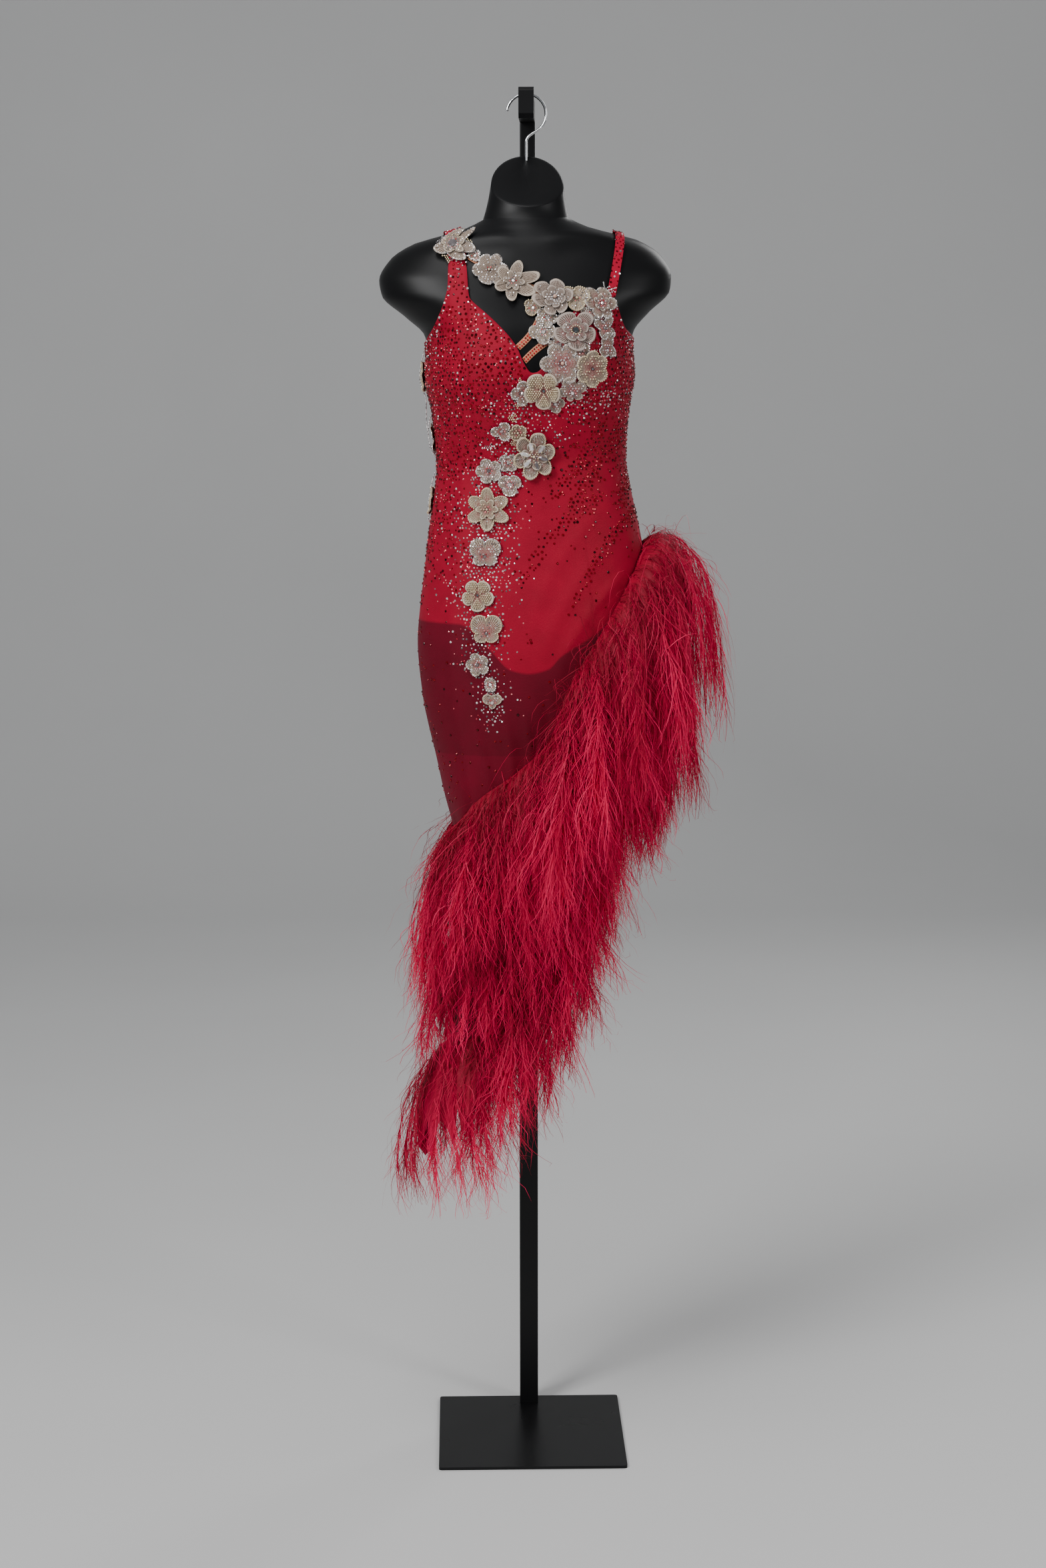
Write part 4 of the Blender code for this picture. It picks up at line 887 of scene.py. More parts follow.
# Beads set between the flowers: across, height, half width of the cluster, its bead
SPRAYS = (
    (0.0529, 1.5455, 0.007, "clear"), (0.0419, 1.4974, 0.006, "cream"), (0.0503, 1.4871, 0.009, "clear"),
    (0.0652, 1.4963, 0.008, "clear"), (0.0819, 1.5486, 0.007, "clear"), (0.0251, 1.4747, 0.009, "clear"),
    (0.0396, 1.4484, 0.01, "clear"), (-0.0177, 1.4465, 0.008, "cream"),
    (-0.0176, 1.4242, 0.0085, "cream"), (-0.0238, 1.4319, 0.008, "clear"),
    (0.0245, 1.4188, 0.008, "clear"), (0.0497, 1.4351, 0.011, "clear"), (0.062, 1.442, 0.008, "clear"),
    (-0.0276, 1.4049, 0.007, "cream"), (-0.0425, 1.3872, 0.008, "clear"),
    (-0.025, 1.3465, 0.008, "cream"), (-0.023, 1.37, 0.008, "cream"), (-0.0572, 1.3662, 0.006, "clear"),
    (-0.0601, 1.3337, 0.012, "clear"), (-0.0331, 1.3151, 0.007, "clear"), (0.086, 1.53, 0.012, "clear"),
    (0.0976, 1.5282, 0.007, "clear"), (-0.064, 1.248, 0.006, "clear"), (-0.06, 1.05, 0.006, "clear"),
    (-0.0972, 1.64, 0.009, "rose"), (-0.111, 1.626, 0.007, "clear"), (-0.08, 1.624, 0.007, "cream"),
    (-0.104, 1.604, 0.0075, "cream"), (-0.093, 1.605, 0.008, "clear"), (-0.085, 1.606, 0.007, "clear"),
    (0.034, 1.527, 0.007, "clear"), (0.03, 1.496, 0.008, "clear"), (0.07, 1.526, 0.008, "rose"),
    (0.062, 1.483, 0.007, "rose"), (0.018, 1.464, 0.006, "clear"),
)


class Patch:
    """Tangent plane of one flower on the body, at the height of its packed plate.

    Steps to the right and up on the plane become steps of turn and height through the inverse of the
    body's slopes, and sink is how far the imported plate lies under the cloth's own height.
    """

    def __init__(self, turn, z, name=None):
        self.turn, self.z = turn, z
        small = 1e-4
        around = (body(turn + small, z) - body(turn - small, z)) / (2 * small)
        up = (body(turn, z + small) - body(turn, z - small)) / (2 * small)
        self.normal = outward(turn, z)
        right = unit(np.cross([0, 0, 1], -self.normal))
        rise = np.cross(right, -self.normal)
        self.steps = np.linalg.pinv(np.stack([around, up], axis=1)) @ np.stack([right, rise], axis=1)
        self.sink = WALL - CLOTH
        if name:
            corners = read_points(frame["nodes"][name].data)
            root, ahead = world(body(turn, z)[None]), world(body(turn, z)[None] + self.normal)
            top = ((corners - root) @ (ahead - root)[0]).max()
            self.sink = float(fit(z)) + WALL + LACE_THICK + LACE_CROWN - top

    def spot(self, u, v):
        """Turn and height of the point u to the right and v up on the patch."""
        return (self.turn + self.steps[0, 0] * u + self.steps[0, 1] * v,
                self.z + self.steps[1, 0] * u + self.steps[1, 1] * v)

    def point(self, u, v, lift):
        """World point u to the right and v up on the patch, at a lift over the plate's underside."""
        turns, heights = self.spot(u, v)
        return world(layer(turns, heights, fit(heights) + WALL + lift) - self.sink * self.normal)

    def ways(self, u, v):
        """World normals of the body under the points u, v."""
        return world_normals(*self.spot(u, v))


def triangular_grid(half, pitch):
    """Points of a grid whose odd rows are moved by half a pitch, as far as half rows each way."""
    row, col = np.mgrid[-half:half + 1, -half:half + 1]
    return ((col + 0.5 * (row % 2)) * pitch).ravel(), (row * pitch * ROW_PITCH).ravel()


# Rings of a petal as shares of its reach, its points for each petal, its thickness, and the rim's cord
PETAL_RINGS = (0.04, 0.2, 0.4, 0.6, 0.78, 0.9, 0.95, 1.0)
PETAL_STEPS, PETAL_THICK, PETAL_FLOOR = 12, 0.0005, 0.0009
CORD_AT, CORD_WIDTH, CORD_HEIGHT, DEEPEST_NOTCH = 0.94, 0.05, 0.0004, 0.55
# Relief of a petal as shares of its radius, lift of an upper layer, a fan's reach and its lean to the foot
BULGE, TIP_RISE, RUFFLE, UPPER_LIFT, FAN_REACH, FAN_LEAN = 0.05, 0.11, 0.022, 0.0016, 0.8, 0.3
# Filling: rows each way, how far out it goes, and its distance from the heart and from the slits
FILL_ROWS, FILL_REACH, OFF_HEART, OFF_SLIT = 14, 0.84, 0.0026, 0.28
RIM_AT, ROUND_STEPS = 0.95, 721


class Rosette:
    """One layer of petals: its outline round the heart and the height of its surface."""

    def __init__(self, patch, radius, petals, notch, spin, floor, point, fan):
        self.patch, self.radius, self.petals, self.spin, self.floor = patch, radius, petals, spin, floor
        self.notch, self.power, self.fan = min(notch + SLIT, DEEPEST_NOTCH), point, fan

    def lobe(self, angle):
        """1 on a petal's middle line and 0 between two petals."""
        return np.abs(np.cos(self.petals * angle / 2))

    def reach(self, angle):
        """Distance from the heart to the rim: full at each petal's middle, shorter by the notch between.

        A fan's petals are half as long at the top and a tenth longer at the foot, by the sine of the angle.
        """
        reach = self.radius * (1 - self.notch * (1 - self.lobe(angle) ** self.power))
        return reach * (FAN_REACH - FAN_LEAN * np.sin(angle + self.spin)) if self.fan else reach

    def height(self, angle, share):
        """Petals bulge along their middle, turn up at the tip and carry a cord round the rim."""
        lobe = self.lobe(angle)
        bulge = self.radius * lobe * (BULGE * np.sin(pi * share) + TIP_RISE * share ** 3)
        ruffle = RUFFLE * self.radius * share ** 2 * np.sin(2 * self.petals * angle + self.spin * 3)
        cord = CORD_HEIGHT * np.exp(-((share - CORD_AT) / CORD_WIDTH) ** 2)
        return self.floor + PETAL_FLOOR + bulge + ruffle + cord

    def place(self, angle, share, above=0.0):
        """World points at an angle and a share of the reach, and the normals under them."""
        u, v = (self.reach(angle) * share * f(angle + self.spin) for f in (np.cos, np.sin))
        return self.patch.point(u, v, self.height(angle, share) + above), self.patch.ways(u, v)

    def mesh(self):
        """Polar grid of the petals with a thin underside, and each point's share of the reach and petal."""
        share = np.array(PETAL_RINGS)[:, None]
        rings, steps = len(share), self.petals * PETAL_STEPS
        angle = np.arange(steps)[None, :] * 2 * pi / steps
        top = self.place(angle, share)[0]
        under = self.place(angle, share, -PETAL_THICK)[0]
        count = rings * steps
        here, ahead = ring_pairs(steps)
        upper = grid_quads(rings, steps, True)
        rim, rim_ahead = count - steps + here, count - steps + ahead
        edge = np.stack([rim, rim + count, rim_ahead + count, rim_ahead], 1)
        bore = np.stack([here, ahead, ahead + count, here + count], 1)
        values = ((share + 0 * angle).ravel(), (angle * self.petals / (2 * pi) + 0 * share).ravel())
        return (np.concatenate([top.reshape(-1, 3), under.reshape(-1, 3)]),
                np.concatenate([upper, upper[:, ::-1] + count, edge, bore]), *(np.tile(v, 2) for v in values))

    def rim(self, pitch):
        """Places along the rim at one pitch."""
        fine = np.linspace(0, 2 * pi, ROUND_STEPS)
        reach = self.reach(fine) * RIM_AT
        run = run_along(np.stack([reach * np.cos(fine), reach * np.sin(fine)], axis=1))
        angle = np.interp(np.arange(int(run[-1] / pitch)) * pitch, run, fine)
        return self.place(angle, np.full(len(angle), RIM_AT))

    def filling(self, pitch, kept, rng):
        """Places of a triangular grid inside the petals, clear of the heart and of the slits."""
        u, v = triangular_grid(FILL_ROWS, pitch)
        angle = np.arctan2(v, u) - self.spin
        share = np.hypot(u, v) / self.reach(angle)
        inside = (share < FILL_REACH) & (np.hypot(u, v) > OFF_HEART) & (self.lobe(angle) > OFF_SLIT)
        inside &= rng.uniform(0, 1, len(u)) < kept
        return self.place(angle[inside], share[inside])


def hearts(kind, rosette):
    """Middle of a flower, ring by ring: rows of (bead, size, points, normals)."""
    zero = np.zeros(1)
    high = rosette.height(zero, zero)[0] + HEART_LIFT
    rows = []
    for bead, size, count, reach in HEARTS[kind]:
        angle = np.arange(count) * 2 * pi / count
        u, v = reach * np.cos(angle), reach * np.sin(angle)
        rows.append((bead, size, rosette.patch.point(u, v, high), rosette.patch.ways(u, v)))
    return rows


def make_flower(name, row, beads, rng):
    """Petals of one packed plate, which they replace, and the beads on them."""
    across, z, radius, petals, notch, spin, upper, heart, beading, tint = row
    turn = radians(across) if name in SIDE_LACE else side_turn(across, z)
    packed = name in frame["nodes"]
    patch, spin = Patch(turn, z, name if packed else None), radians(spin)
    point = POINTED.get(name, ROUND)
    fan = name in FANS
    layers = [Rosette(patch, radius, petals, notch, spin, 0.0, point, fan)]
    if upper:
        top = UPPER_LIFT + BULGE * radius
        layers.append(Rosette(patch, radius * upper, petals, notch, spin + pi / petals, top, point, fan))
    meshes = [each.mesh() for each in layers]
    starts = np.cumsum([0] + [len(made[0]) for made in meshes[:-1]])
    shares, angles = (np.concatenate([made[k] for made in meshes]) for k in (2, 3))
    piece(name + "_petals", np.concatenate([made[0] for made in meshes]),
          np.concatenate([made[1] + start for made, start in zip(meshes, starts)]), finish=LACE,
          instead=(name,) if packed else (),
          values={"rim": shares, "petal": angles, "tint": np.full(len(shares), tint),
                  "on_cloth": np.full(len(shares), float(z < edge_height(turn, across)))})
    rim_pitch, rim_bead, pitch, bead, kept = BEADING[beading]
    if rim_pitch:
        beads.append((rim_bead, BEAD_SIZE, *layers[0].rim(rim_pitch)))
    beads.append((bead, BEAD_SIZE, *layers[-1].filling(pitch, kept, rng)))
    if upper:
        beads.append(("clear", UNDER_SIZE, *layers[0].filling(UNDER_PITCH, UNDER_KEPT, rng)))
    beads.extend(hearts(heart, layers[-1]))


# Loose clusters: the beads' pitch, rows each way and the share kept
SPRAY_PITCH, SPRAY_ROWS, SPRAY_KEPT = 0.0028, 5, 0.85


def make_spray(across, z, radius, kind, beads, rng):
    """Loose cluster of beads on the cloth: a triangular grid inside a ragged ring, with gaps."""
    patch = Patch(side_turn(across, z), z)
    if z > STRAP_FOOT:
        patch.sink = 0.0
    u, v = triangular_grid(SPRAY_ROWS, SPRAY_PITCH)
    gap = np.hypot(u, v)
    ragged = radius * (0.8 + 0.3 * np.sin(3 * np.arctan2(v, u) + across * 400))
    inside = (gap < ragged) & (rng.uniform(0, 1, len(u)) < SPRAY_KEPT)
    u, v = u[inside], v[inside]
    beads.append((kind, BEAD_SIZE, patch.point(u, v, np.zeros(len(u))), patch.ways(u, v)))


# Bead strings: turn in degrees, height and lift over the cloth in millimetres, point by point
STRINGS = {
    "side_string": ((-92, 1.4900, 0.0), (-95, 1.4700, 4.0), (-93, 1.4520, 5.0), (-96, 1.4300, 2.0),
                    (-93, 1.4150, 4.5), (-92, 1.3950, 6.5), (-92, 1.3700, 6.0), (-95, 1.3520, 1.0)),
    "side_loop": ((-97, 1.4050, 0.5), (-91, 1.3950, 4.0), (-90, 1.3780, 6.0), (-93, 1.3600, 3.0),
                  (-98, 1.3550, 0.5)),
    "waist_string": ((-95, 1.3300, 0.5), (-92, 1.3150, 3.0), (-93, 1.2950, 4.0), (-92, 1.2800, 2.5),
                     (-95, 1.2650, 0.5)),
}
STRING_PITCH, STRING_LIFT, STRING_STEPS = 0.0019, 0.0008, 400


def make_strings(beads):
    """Small silver beads along smooth curves at the left edge of the open back."""
    for rows in STRINGS.values():
        turn, z, lift = np.array(rows).T
        at, fine = np.arange(len(rows)), np.linspace(0, len(rows) - 1, STRING_STEPS)
        turn, z, lift = (smooth(fine, at, line) for line in (np.radians(turn), z, lift * MM))
        line = world(layer(turn, z, fit(z) + WALL + STRING_LIFT + lift))
        run, steps = run_along(line), np.arange(len(fine))
        at = np.interp(np.arange(0, run[-1], STRING_PITCH), run, steps)
        centres = np.stack([np.interp(at, steps, line[:, k]) for k in range(3)], axis=1)
        beads.append(("silver", 1.0, centres, world_normals(turn, z)[at.astype(int)]))


# Twig of clear beads by the right strap: each run's ends (across, height)
TWIG = (((0.0925, 1.5540), (0.0905, 1.5690)), ((0.0915, 1.5605), (0.0975, 1.5640)),
        ((0.0915, 1.5580), (0.1060, 1.5625)), ((0.1000, 1.5600), (0.1045, 1.5575)))
TWIG_PITCH, TWIG_LIFT = 0.0016, 0.0012


def make_twig(beads):
    """Beads in single rows just over the strap and the lace."""
    for (x0, z0), (x1, z1) in TWIG:
        count = max(int(np.hypot(x1 - x0, z1 - z0) / TWIG_PITCH), 2)
        x, z = np.linspace(x0, x1, count), np.linspace(z0, z1, count)
        turn = turn_at(x, z)
        centres = world(layer(turn, z, STRAP_FIT + WALL + TWIG_LIFT))
        beads.append(("silver", 1.1, centres, world_normals(turn, z)))


# Long stones that radiate from the waist flower: number, distance from the heart, lift and half length, then
# their shape against a round stone's, their table, their crown and their tilt
LONG_STONES = (6, 0.0135, 0.0058, 0.0074)
LONG_SHAPE, LONG_TABLE, LONG_CROWN, LONG_TILT = (1.0, 0.42, 0.36), 0.5, 0.75, 0.10


def make_long_stones(rng):
    """Long cut stones round the waist flower's heart, each pointed outwards."""
    across, z, _, _, _, spin = FLOWERS["waist_flower"][:6]
    patch = Patch(side_turn(across, z), z, "waist_flower")
    count, gap, lift, size = LONG_STONES
    angle = np.arange(count) * 2 * pi / count + radians(spin) + pi / count
    centres = patch.point(gap * np.cos(angle), gap * np.sin(angle), lift)
    ends = patch.point(2 * gap * np.cos(angle), 2 * gap * np.sin(angle), lift)
    points, faces = cut_stone(6, LONG_TABLE, LONG_CROWN)
    scatter("waist_long_stones", centres, patch.ways(gap * np.cos(angle), gap * np.sin(angle)),
            np.full(count, size), (points * LONG_SHAPE, faces), CLEAR, rng, LONG_TILT,
            ahead=ends - centres)


def make_lace(rng):
    """All flowers, strings and loose beads; beads of one kind are one piece."""
    beads = []
    for name, row in [*FLOWERS.items(), *SIDE_LACE.items(), *FILLERS.items()]:
        make_flower(name, row, beads, rng)
    for across, z, radius, kind in SPRAYS:
        make_spray(across, z, radius, kind, beads, rng)
    make_strings(beads)
    make_twig(beads)
    make_long_stones(rng)
    for kind, (size, shape, finish) in BEADS.items():
        mine = [row for row in beads if row[0] == kind and len(row[2])]
        sizes = np.concatenate([np.full(len(row[2]), size * row[1]) for row in mine])
        centres, ways = (np.concatenate([row[k] for row in mine]) for k in (2, 3))
        scatter("lace_beads_" + kind, centres, ways, sizes * rng.uniform(0.9, 1.1, len(sizes)), shape, finish,
                rng, STONE_TILT if shape is STONE else PEARL_TILT, shape is PEARL)


# Elastics -----------------------------------------------------------------------------------------

# Elastics: ends (across, height), width, bow as a share of the length, and whether stones are set on them
BANDS = {
    "chest_band": ((-0.0780, 1.6080), (0.0420, 1.5500), 0.0100, -0.04, False),
    "upper_bust_band": ((-0.0205, 1.4910), (0.0085, 1.5260), 0.0085, -0.06, True),
    "lower_bust_band": ((-0.0125, 1.4745), (0.0215, 1.5000), 0.0085, 0.04, True),
}
# Their lift off the form, the stones' half width and pitch, the stones' rows as shares of the width, and the
# grid's steps across and columns along
BAND_LIFT, BAND_STONE, BAND_PITCH, BAND_ROWS = 0.0006, 0.0014, 0.0034, (-0.22, 0.22)
BAND_STEPS, BAND_COLUMNS = 7, 25


def make_bands(rng):
    """Flat strips on the form between two ends, a little bowed, with two rows of light stones."""
    centres, ways = [], []
    for name, ((x0, z0), (x1, z1), width, bow, set_stones) in BANDS.items():
        share = np.linspace(0, 1, BAND_COLUMNS)[None, :]
        run = np.array([x1 - x0, z1 - z0])
        length = np.linalg.norm(run)
        side = np.array([-run[1], run[0]]) / length

        def spot(share, aside):
            """Turn and height at a share of the length, with a bow of half a wave."""
            x, z = (a + (b - a) * share + s * (aside + bow * length * np.sin(pi * share))
                    for a, b, s in ((x0, x1, side[0]), (z0, z1, side[1])))
            return turn_at(x, z), z
        aside = np.linspace(-0.5, 0.5, BAND_STEPS)[:, None] * width
        turn, z = spot(*np.broadcast_arrays(share, aside))
        sheet_piece(name + "_elastic", turn, z, BAND_LIFT + 0 * turn, NUDE, (name,))
        if set_stones:
            count = int(length / BAND_PITCH)
            at = np.tile((np.arange(count) + 0.5) / count, 2)
            turn, z = spot(at, np.repeat(BAND_ROWS, count) * width)
            centres.append(world(layer(turn, z, BAND_LIFT + CLOTH + 0 * z)))
            ways.append(world_normals(turn, z))
    centres = np.concatenate(centres)
    scatter("elastic_stones", centres, np.concatenate(ways), np.full(len(centres), BAND_STONE), STONE,
            RED_STONE, rng, STONE_TILT)


# Stones on the cloth ------------------------------------------------------------------------------

# Middle line of the chain of flowers, from its end up to the neckline: across, height
CHAIN = ((-0.0596, 1.0200), (-0.0618, 1.0615), (-0.0770, 1.0875), (-0.0654, 1.1276), (-0.0749, 1.1760),
         (-0.0646, 1.2255), (-0.0597, 1.2861), (-0.0450, 1.3300), (-0.0200, 1.3700), (-0.0050, 1.4200),
         (0.0357, 1.4500), (0.0518, 1.5085))
# Streams of dark stones down the right side: start and end (across, height) and half width
STREAMS = (
    (0.128, 1.275, 0.100, 1.254, 0.0130), (0.100, 1.254, 0.074, 1.211, 0.0110),
    (0.074, 1.211, 0.052, 1.175, 0.0090), (0.052, 1.175, 0.042, 1.147, 0.0060),
    (0.060, 1.300, 0.018, 1.251, 0.0120), (0.018, 1.251, -0.004, 1.216, 0.0100),
    (-0.004, 1.216, -0.019, 1.191, 0.0080), (0.082, 1.300, 0.050, 1.274, 0.0120),
    (0.050, 1.274, 0.011, 1.236, 0.0080), (0.114, 1.388, 0.083, 1.346, 0.0160),
    (0.083, 1.346, 0.057, 1.304, 0.0150), (0.057, 1.304, 0.039, 1.270, 0.0100),
    (0.087, 1.390, 0.058, 1.347, 0.0140), (0.058, 1.347, 0.027, 1.305, 0.0120),
    (0.130, 1.350, 0.110, 1.290, 0.0140), (-0.017, 1.124, -0.004, 1.106, 0.0050),
)
# Shares of the dark, clear and light red stones in each zone of the cloth
DARK = {"bodice": 0.92, "left": 0.80, "right": 0.62, "middle": 0.40, "hip": 0.42, "leg": 0.07, "cloth": 0.10,
        "thinnest": 0.02, "upper_back": 0.62, "lower_back": 0.10, "back": 0.03, "lost_beside": 0.8}
LIGHT = {"chain": 0.82, "edge": 0.55, "under": 0.50, "bodice": 0.09, "back": 0.06}
ROSE = {"chain": 0.24, "bodice": 0.10, "back": 0.04}
# Heights over which each zone fills up
FILLS = {"chain": (0.99, 1.03), "wide": (1.06, 1.20), "bodice": (1.385, 1.42), "waist": (1.28, 1.36),
         "hip": (1.15, 1.26), "cloth": (1.18, 1.30), "upper_back": (1.20, 1.42), "lower_back": (1.05, 1.25)}
# The two sides of the front, from the middle outwards, and how steeply a stream fades
LEFT_SIDE, RIGHT_SIDE, STREAM_FADE = (0.01, 0.05), (0.03, 0.08), 1.6
# Bands: beside the chain, its half width below and what it gains above, the heights where it ends, and the
# light red ones' wider band; along the upper edge; and under the bust, with its two ends across
CHAIN_HALF, CHAIN_MORE, CHAIN_TOP, ROSE_TOP, ROSE_WIDER = 0.017, 0.015, 1.50, 1.46, 1.4
EDGE_BAND, UNDER_HEIGHT, UNDER_BAND, UNDER_FROM, UNDER_TO = 0.012, 1.425, 0.022, (-0.04, 0.0), (0.09, 0.12)


def near_lines(x, z, lines):
    """1 near the middle of each line and 0 from its half width on, straight in between."""
    best = np.zeros(x.shape)
    for x0, z0, x1, z1, width in lines:
        run = np.array([x1 - x0, z1 - z0])
        along = np.clip(((x - x0) * run[0] + (z - z0) * run[1]) / (run @ run), 0, 1)
        gap = np.hypot(x - x0 - run[0] * along, z - z0 - run[1] * along)
        best = np.maximum(best, np.clip(STREAM_FADE - STREAM_FADE * gap / width, 0, 1))
    return best


def edge_height(turn, x):
    """Height of the cloth's upper edge at each place, in front and behind."""
    edge = np.array(FRONT_EDGE)
    return np.where(np.cos(turn) > 0, np.interp(x, edge[:, 0], edge[:, 1]), back_edge(turn))


def stone_shares(turn, x, z):
    """Chance of a dark stone, of a clear one and of a light red one at each place on the cloth.

    Dark stones fill the bodice, thin out down the left side and follow the streams on the right. Clear
    and light red ones lie by a bell curve beside the chain of flowers, along the upper edge and in a band
    under the bust. Each zone is a product of soft steps, and the densest zone counts.
    """
    rise = {zone: soft_step(z, *heights) for zone, heights in FILLS.items()}
    gap = np.abs(x - np.interp(z, *np.array(CHAIN)[:, ::-1].T))
    front = np.cos(turn) > -0.05
    near = CHAIN_HALF + CHAIN_MORE * rise["wide"]
    beside = np.where(z < CHAIN_TOP, rise["chain"] * np.exp(-(gap / near) ** 2), 0.0)
    wide = np.where(z < ROSE_TOP, rise["chain"] * np.exp(-(gap / (near * ROSE_WIDER)) ** 2), 0.0)
    left, right = soft_step(-x, *LEFT_SIDE), soft_step(x, *RIGHT_SIDE)
    edge = np.exp(-((edge_height(turn, x) - z) / EDGE_BAND) ** 2)
    bodice = rise["bodice"] * DARK["bodice"]
    between = (1 - left) * (1 - right)
    waist = rise["waist"] * (DARK["left"] * left + DARK["right"] * right + DARK["middle"] * between)
    hip = left * (DARK["hip"] * rise["hip"] + DARK["leg"])
    dark = np.maximum(np.maximum(bodice, waist), np.maximum(hip, near_lines(x, z, STREAMS)))
    dark = np.maximum(dark, DARK["cloth"] * rise["cloth"] + DARK["thinnest"])
    behind = rise["upper_back"] * DARK["upper_back"] + DARK["lower_back"] * rise["lower_back"] + DARK["back"]
    dark = np.where(front, dark * (1 - DARK["lost_beside"] * beside), behind)
    across = soft_step(x, *UNDER_FROM) * (1 - soft_step(x, *UNDER_TO))
    under = np.exp(-((z - UNDER_HEIGHT) / UNDER_BAND) ** 2) * across
    clear = np.maximum(np.maximum(LIGHT["chain"] * beside, LIGHT["edge"] * edge), LIGHT["under"] * under)
    clear = np.where(front, clear + LIGHT["bodice"] * bodice, LIGHT["back"])
    rose = np.where(front, ROSE["chain"] * wide + ROSE["bodice"] * bodice, ROSE["back"])
    return dark, clear, rose


# Stones: the two grids' pitches, the heights between which they lie, the girth they are counted on, the
# share of the pitch by which they stray, and their distance from the feathers and from the edge
DARK_PITCH, CLEAR_PITCH = 0.0059, 0.0048
STONE_HEIGHTS, GIRTH, MEAN_RADIUS, STRAY = (0.90, 1.60), 0.80, 0.12, 0.15
OFF_FEATHERS, OFF_EDGE = 0.012, 0.003


def cloth_grid(pitch, rng):
    """Jittered triangular grid over the dress, between the feathers and the upper edge."""
    rows = np.arange(*STONE_HEIGHTS, pitch * ROW_PITCH)
    count = int(GIRTH / pitch)
    turn = (np.arange(count)[None, :] + 0.5 * (np.arange(len(rows)) % 2)[:, None]) * 2 * pi / count
    z = (rows[:, None] + rng.normal(0, pitch * STRAY, turn.shape)).ravel()
    turn = (turn + rng.normal(0, pitch * STRAY, turn.shape) / MEAN_RADIUS).ravel() % (2 * pi)
    x = body(turn, z)[..., 0]
    floor = line_height(UPPER_LINE, x) + OFF_FEATHERS
    kept = (z < edge_height(turn, x) - OFF_EDGE) & (z > floor)
    return turn[kept], x[kept], z[kept]


def make_stones(rng):
    """Dark stones on a wide grid; clear and light red ones on a finer grid of their own."""
    coarse, fine = cloth_grid(DARK_PITCH, rng), cloth_grid(CLEAR_PITCH, rng)
    dark = rng.uniform(0, 1, len(coarse[0])) < stone_shares(*coarse)[0]
    clear_share, rose_share = stone_shares(*fine)[1:]
    draw = rng.uniform(0, 1, len(fine[0]))
    clear = draw < clear_share
    rose = (draw > clear_share) & (draw < clear_share + rose_share)
    groups = (("siam_stones", coarse, dark, PLAIN_STONE, SIAM, (0.0013, 0.0023)),
              ("clear_stones", fine, clear, STONE, CLEAR, (0.0010, 0.0018)),
              ("rose_stones", fine, rose, PLAIN_STONE, LIGHT_SIAM, (0.0009, 0.0015)))
    for name, (turn, _, z), kept, shape, finish, sizes in groups:
        turn, z = turn[kept], z[kept]
        lift = fit(z) + cloth_relief(turn, z) + CLOTH
        centres = world(layer(turn, z, lift))
        ways = world(layer(turn, z, lift + 1.0)) - centres
        scatter(name, centres, ways, rng.uniform(*sizes, len(z)), shape, finish, rng,
                STONE_TILT)


# Share of the clear stones on each strap, the stones' pitch, the places tried, the chest's height, the
# stones' half widths, and how squarely a face looks out from the chest
STRAP_CLEAR = {"left_strap": 0.45, "right_strap": 0.14}
STRAP_PITCH, STRAP_TRIES, CHEST, STRAP_SIZES, FACING_OUT = 0.0050, 3000, 1.52, (0.0012, 0.0018), 0.5


def strap_stones(rng):
    """Stones spread over the straps' outer faces: random places, thinned to one pitch."""
    places, ways, bright = [], [], []
    middle = world(np.array([[0.0, 0.0, CHEST]]))[0]
    for name, share_clear in STRAP_CLEAR.items():
        mesh = frame["nodes"][name].data
        mesh.calc_loop_triangles()
        faces = np.empty(3 * len(mesh.loop_triangles), np.int32)
        mesh.loop_triangles.foreach_get("vertices", faces)
        a, b, c = np.moveaxis(read_points(mesh)[faces.reshape(-1, 3)], 1, 0)
        normal = np.cross(b - a, c - a)
        area = np.linalg.norm(normal, axis=1)
        outer = (unit(normal) * unit((a + b + c) / 3 - middle)).sum(axis=1) > FACING_OUT
        chosen = rng.choice(len(area), STRAP_TRIES, p=area * outer / (area * outer).sum())
        share = rng.dirichlet((1, 1, 1), STRAP_TRIES)
        found = (np.stack([a, b, c], 1)[chosen] * share[..., None]).sum(axis=1)
        kept = []
        for k in range(len(found)):
            if not kept or np.linalg.norm(found[kept] - found[k], axis=1).min() > STRAP_PITCH:
                kept.append(k)
        places.append(found[kept])
        ways.append(unit(normal[chosen])[kept])
        bright.append(np.full(len(kept), share_clear))
    places, ways = np.concatenate(places), np.concatenate(ways)
    clear = rng.uniform(0, 1, len(places)) < np.concatenate(bright)
    for name, kept, finish in (("strap_clear_stones", clear, CLEAR), ("strap_siam_stones", ~clear, SIAM)):
        scatter(name, places[kept], ways[kept], rng.uniform(*STRAP_SIZES, kept.sum()), STONE, finish,
                rng, STONE_TILT)


# Feathers -----------------------------------------------------------------------------------------

UPPER_LINE = ((-0.115, 0.848), (-0.080, 0.905), (-0.030, 0.945), (0.010, 0.985), (0.040, 1.060),
              (0.080, 1.125), (0.115, 1.185), (0.150, 1.258))
MIDDLE_LINE = ((-0.120, 0.700), (-0.060, 0.750), (0.000, 0.835), (0.050, 0.935), (0.100, 1.035),
               (0.150, 1.120))
OVER_HEM = 0.014
LOWER_LINE = tuple((x, z + OVER_HEM) for x, z in HEM_LINE)
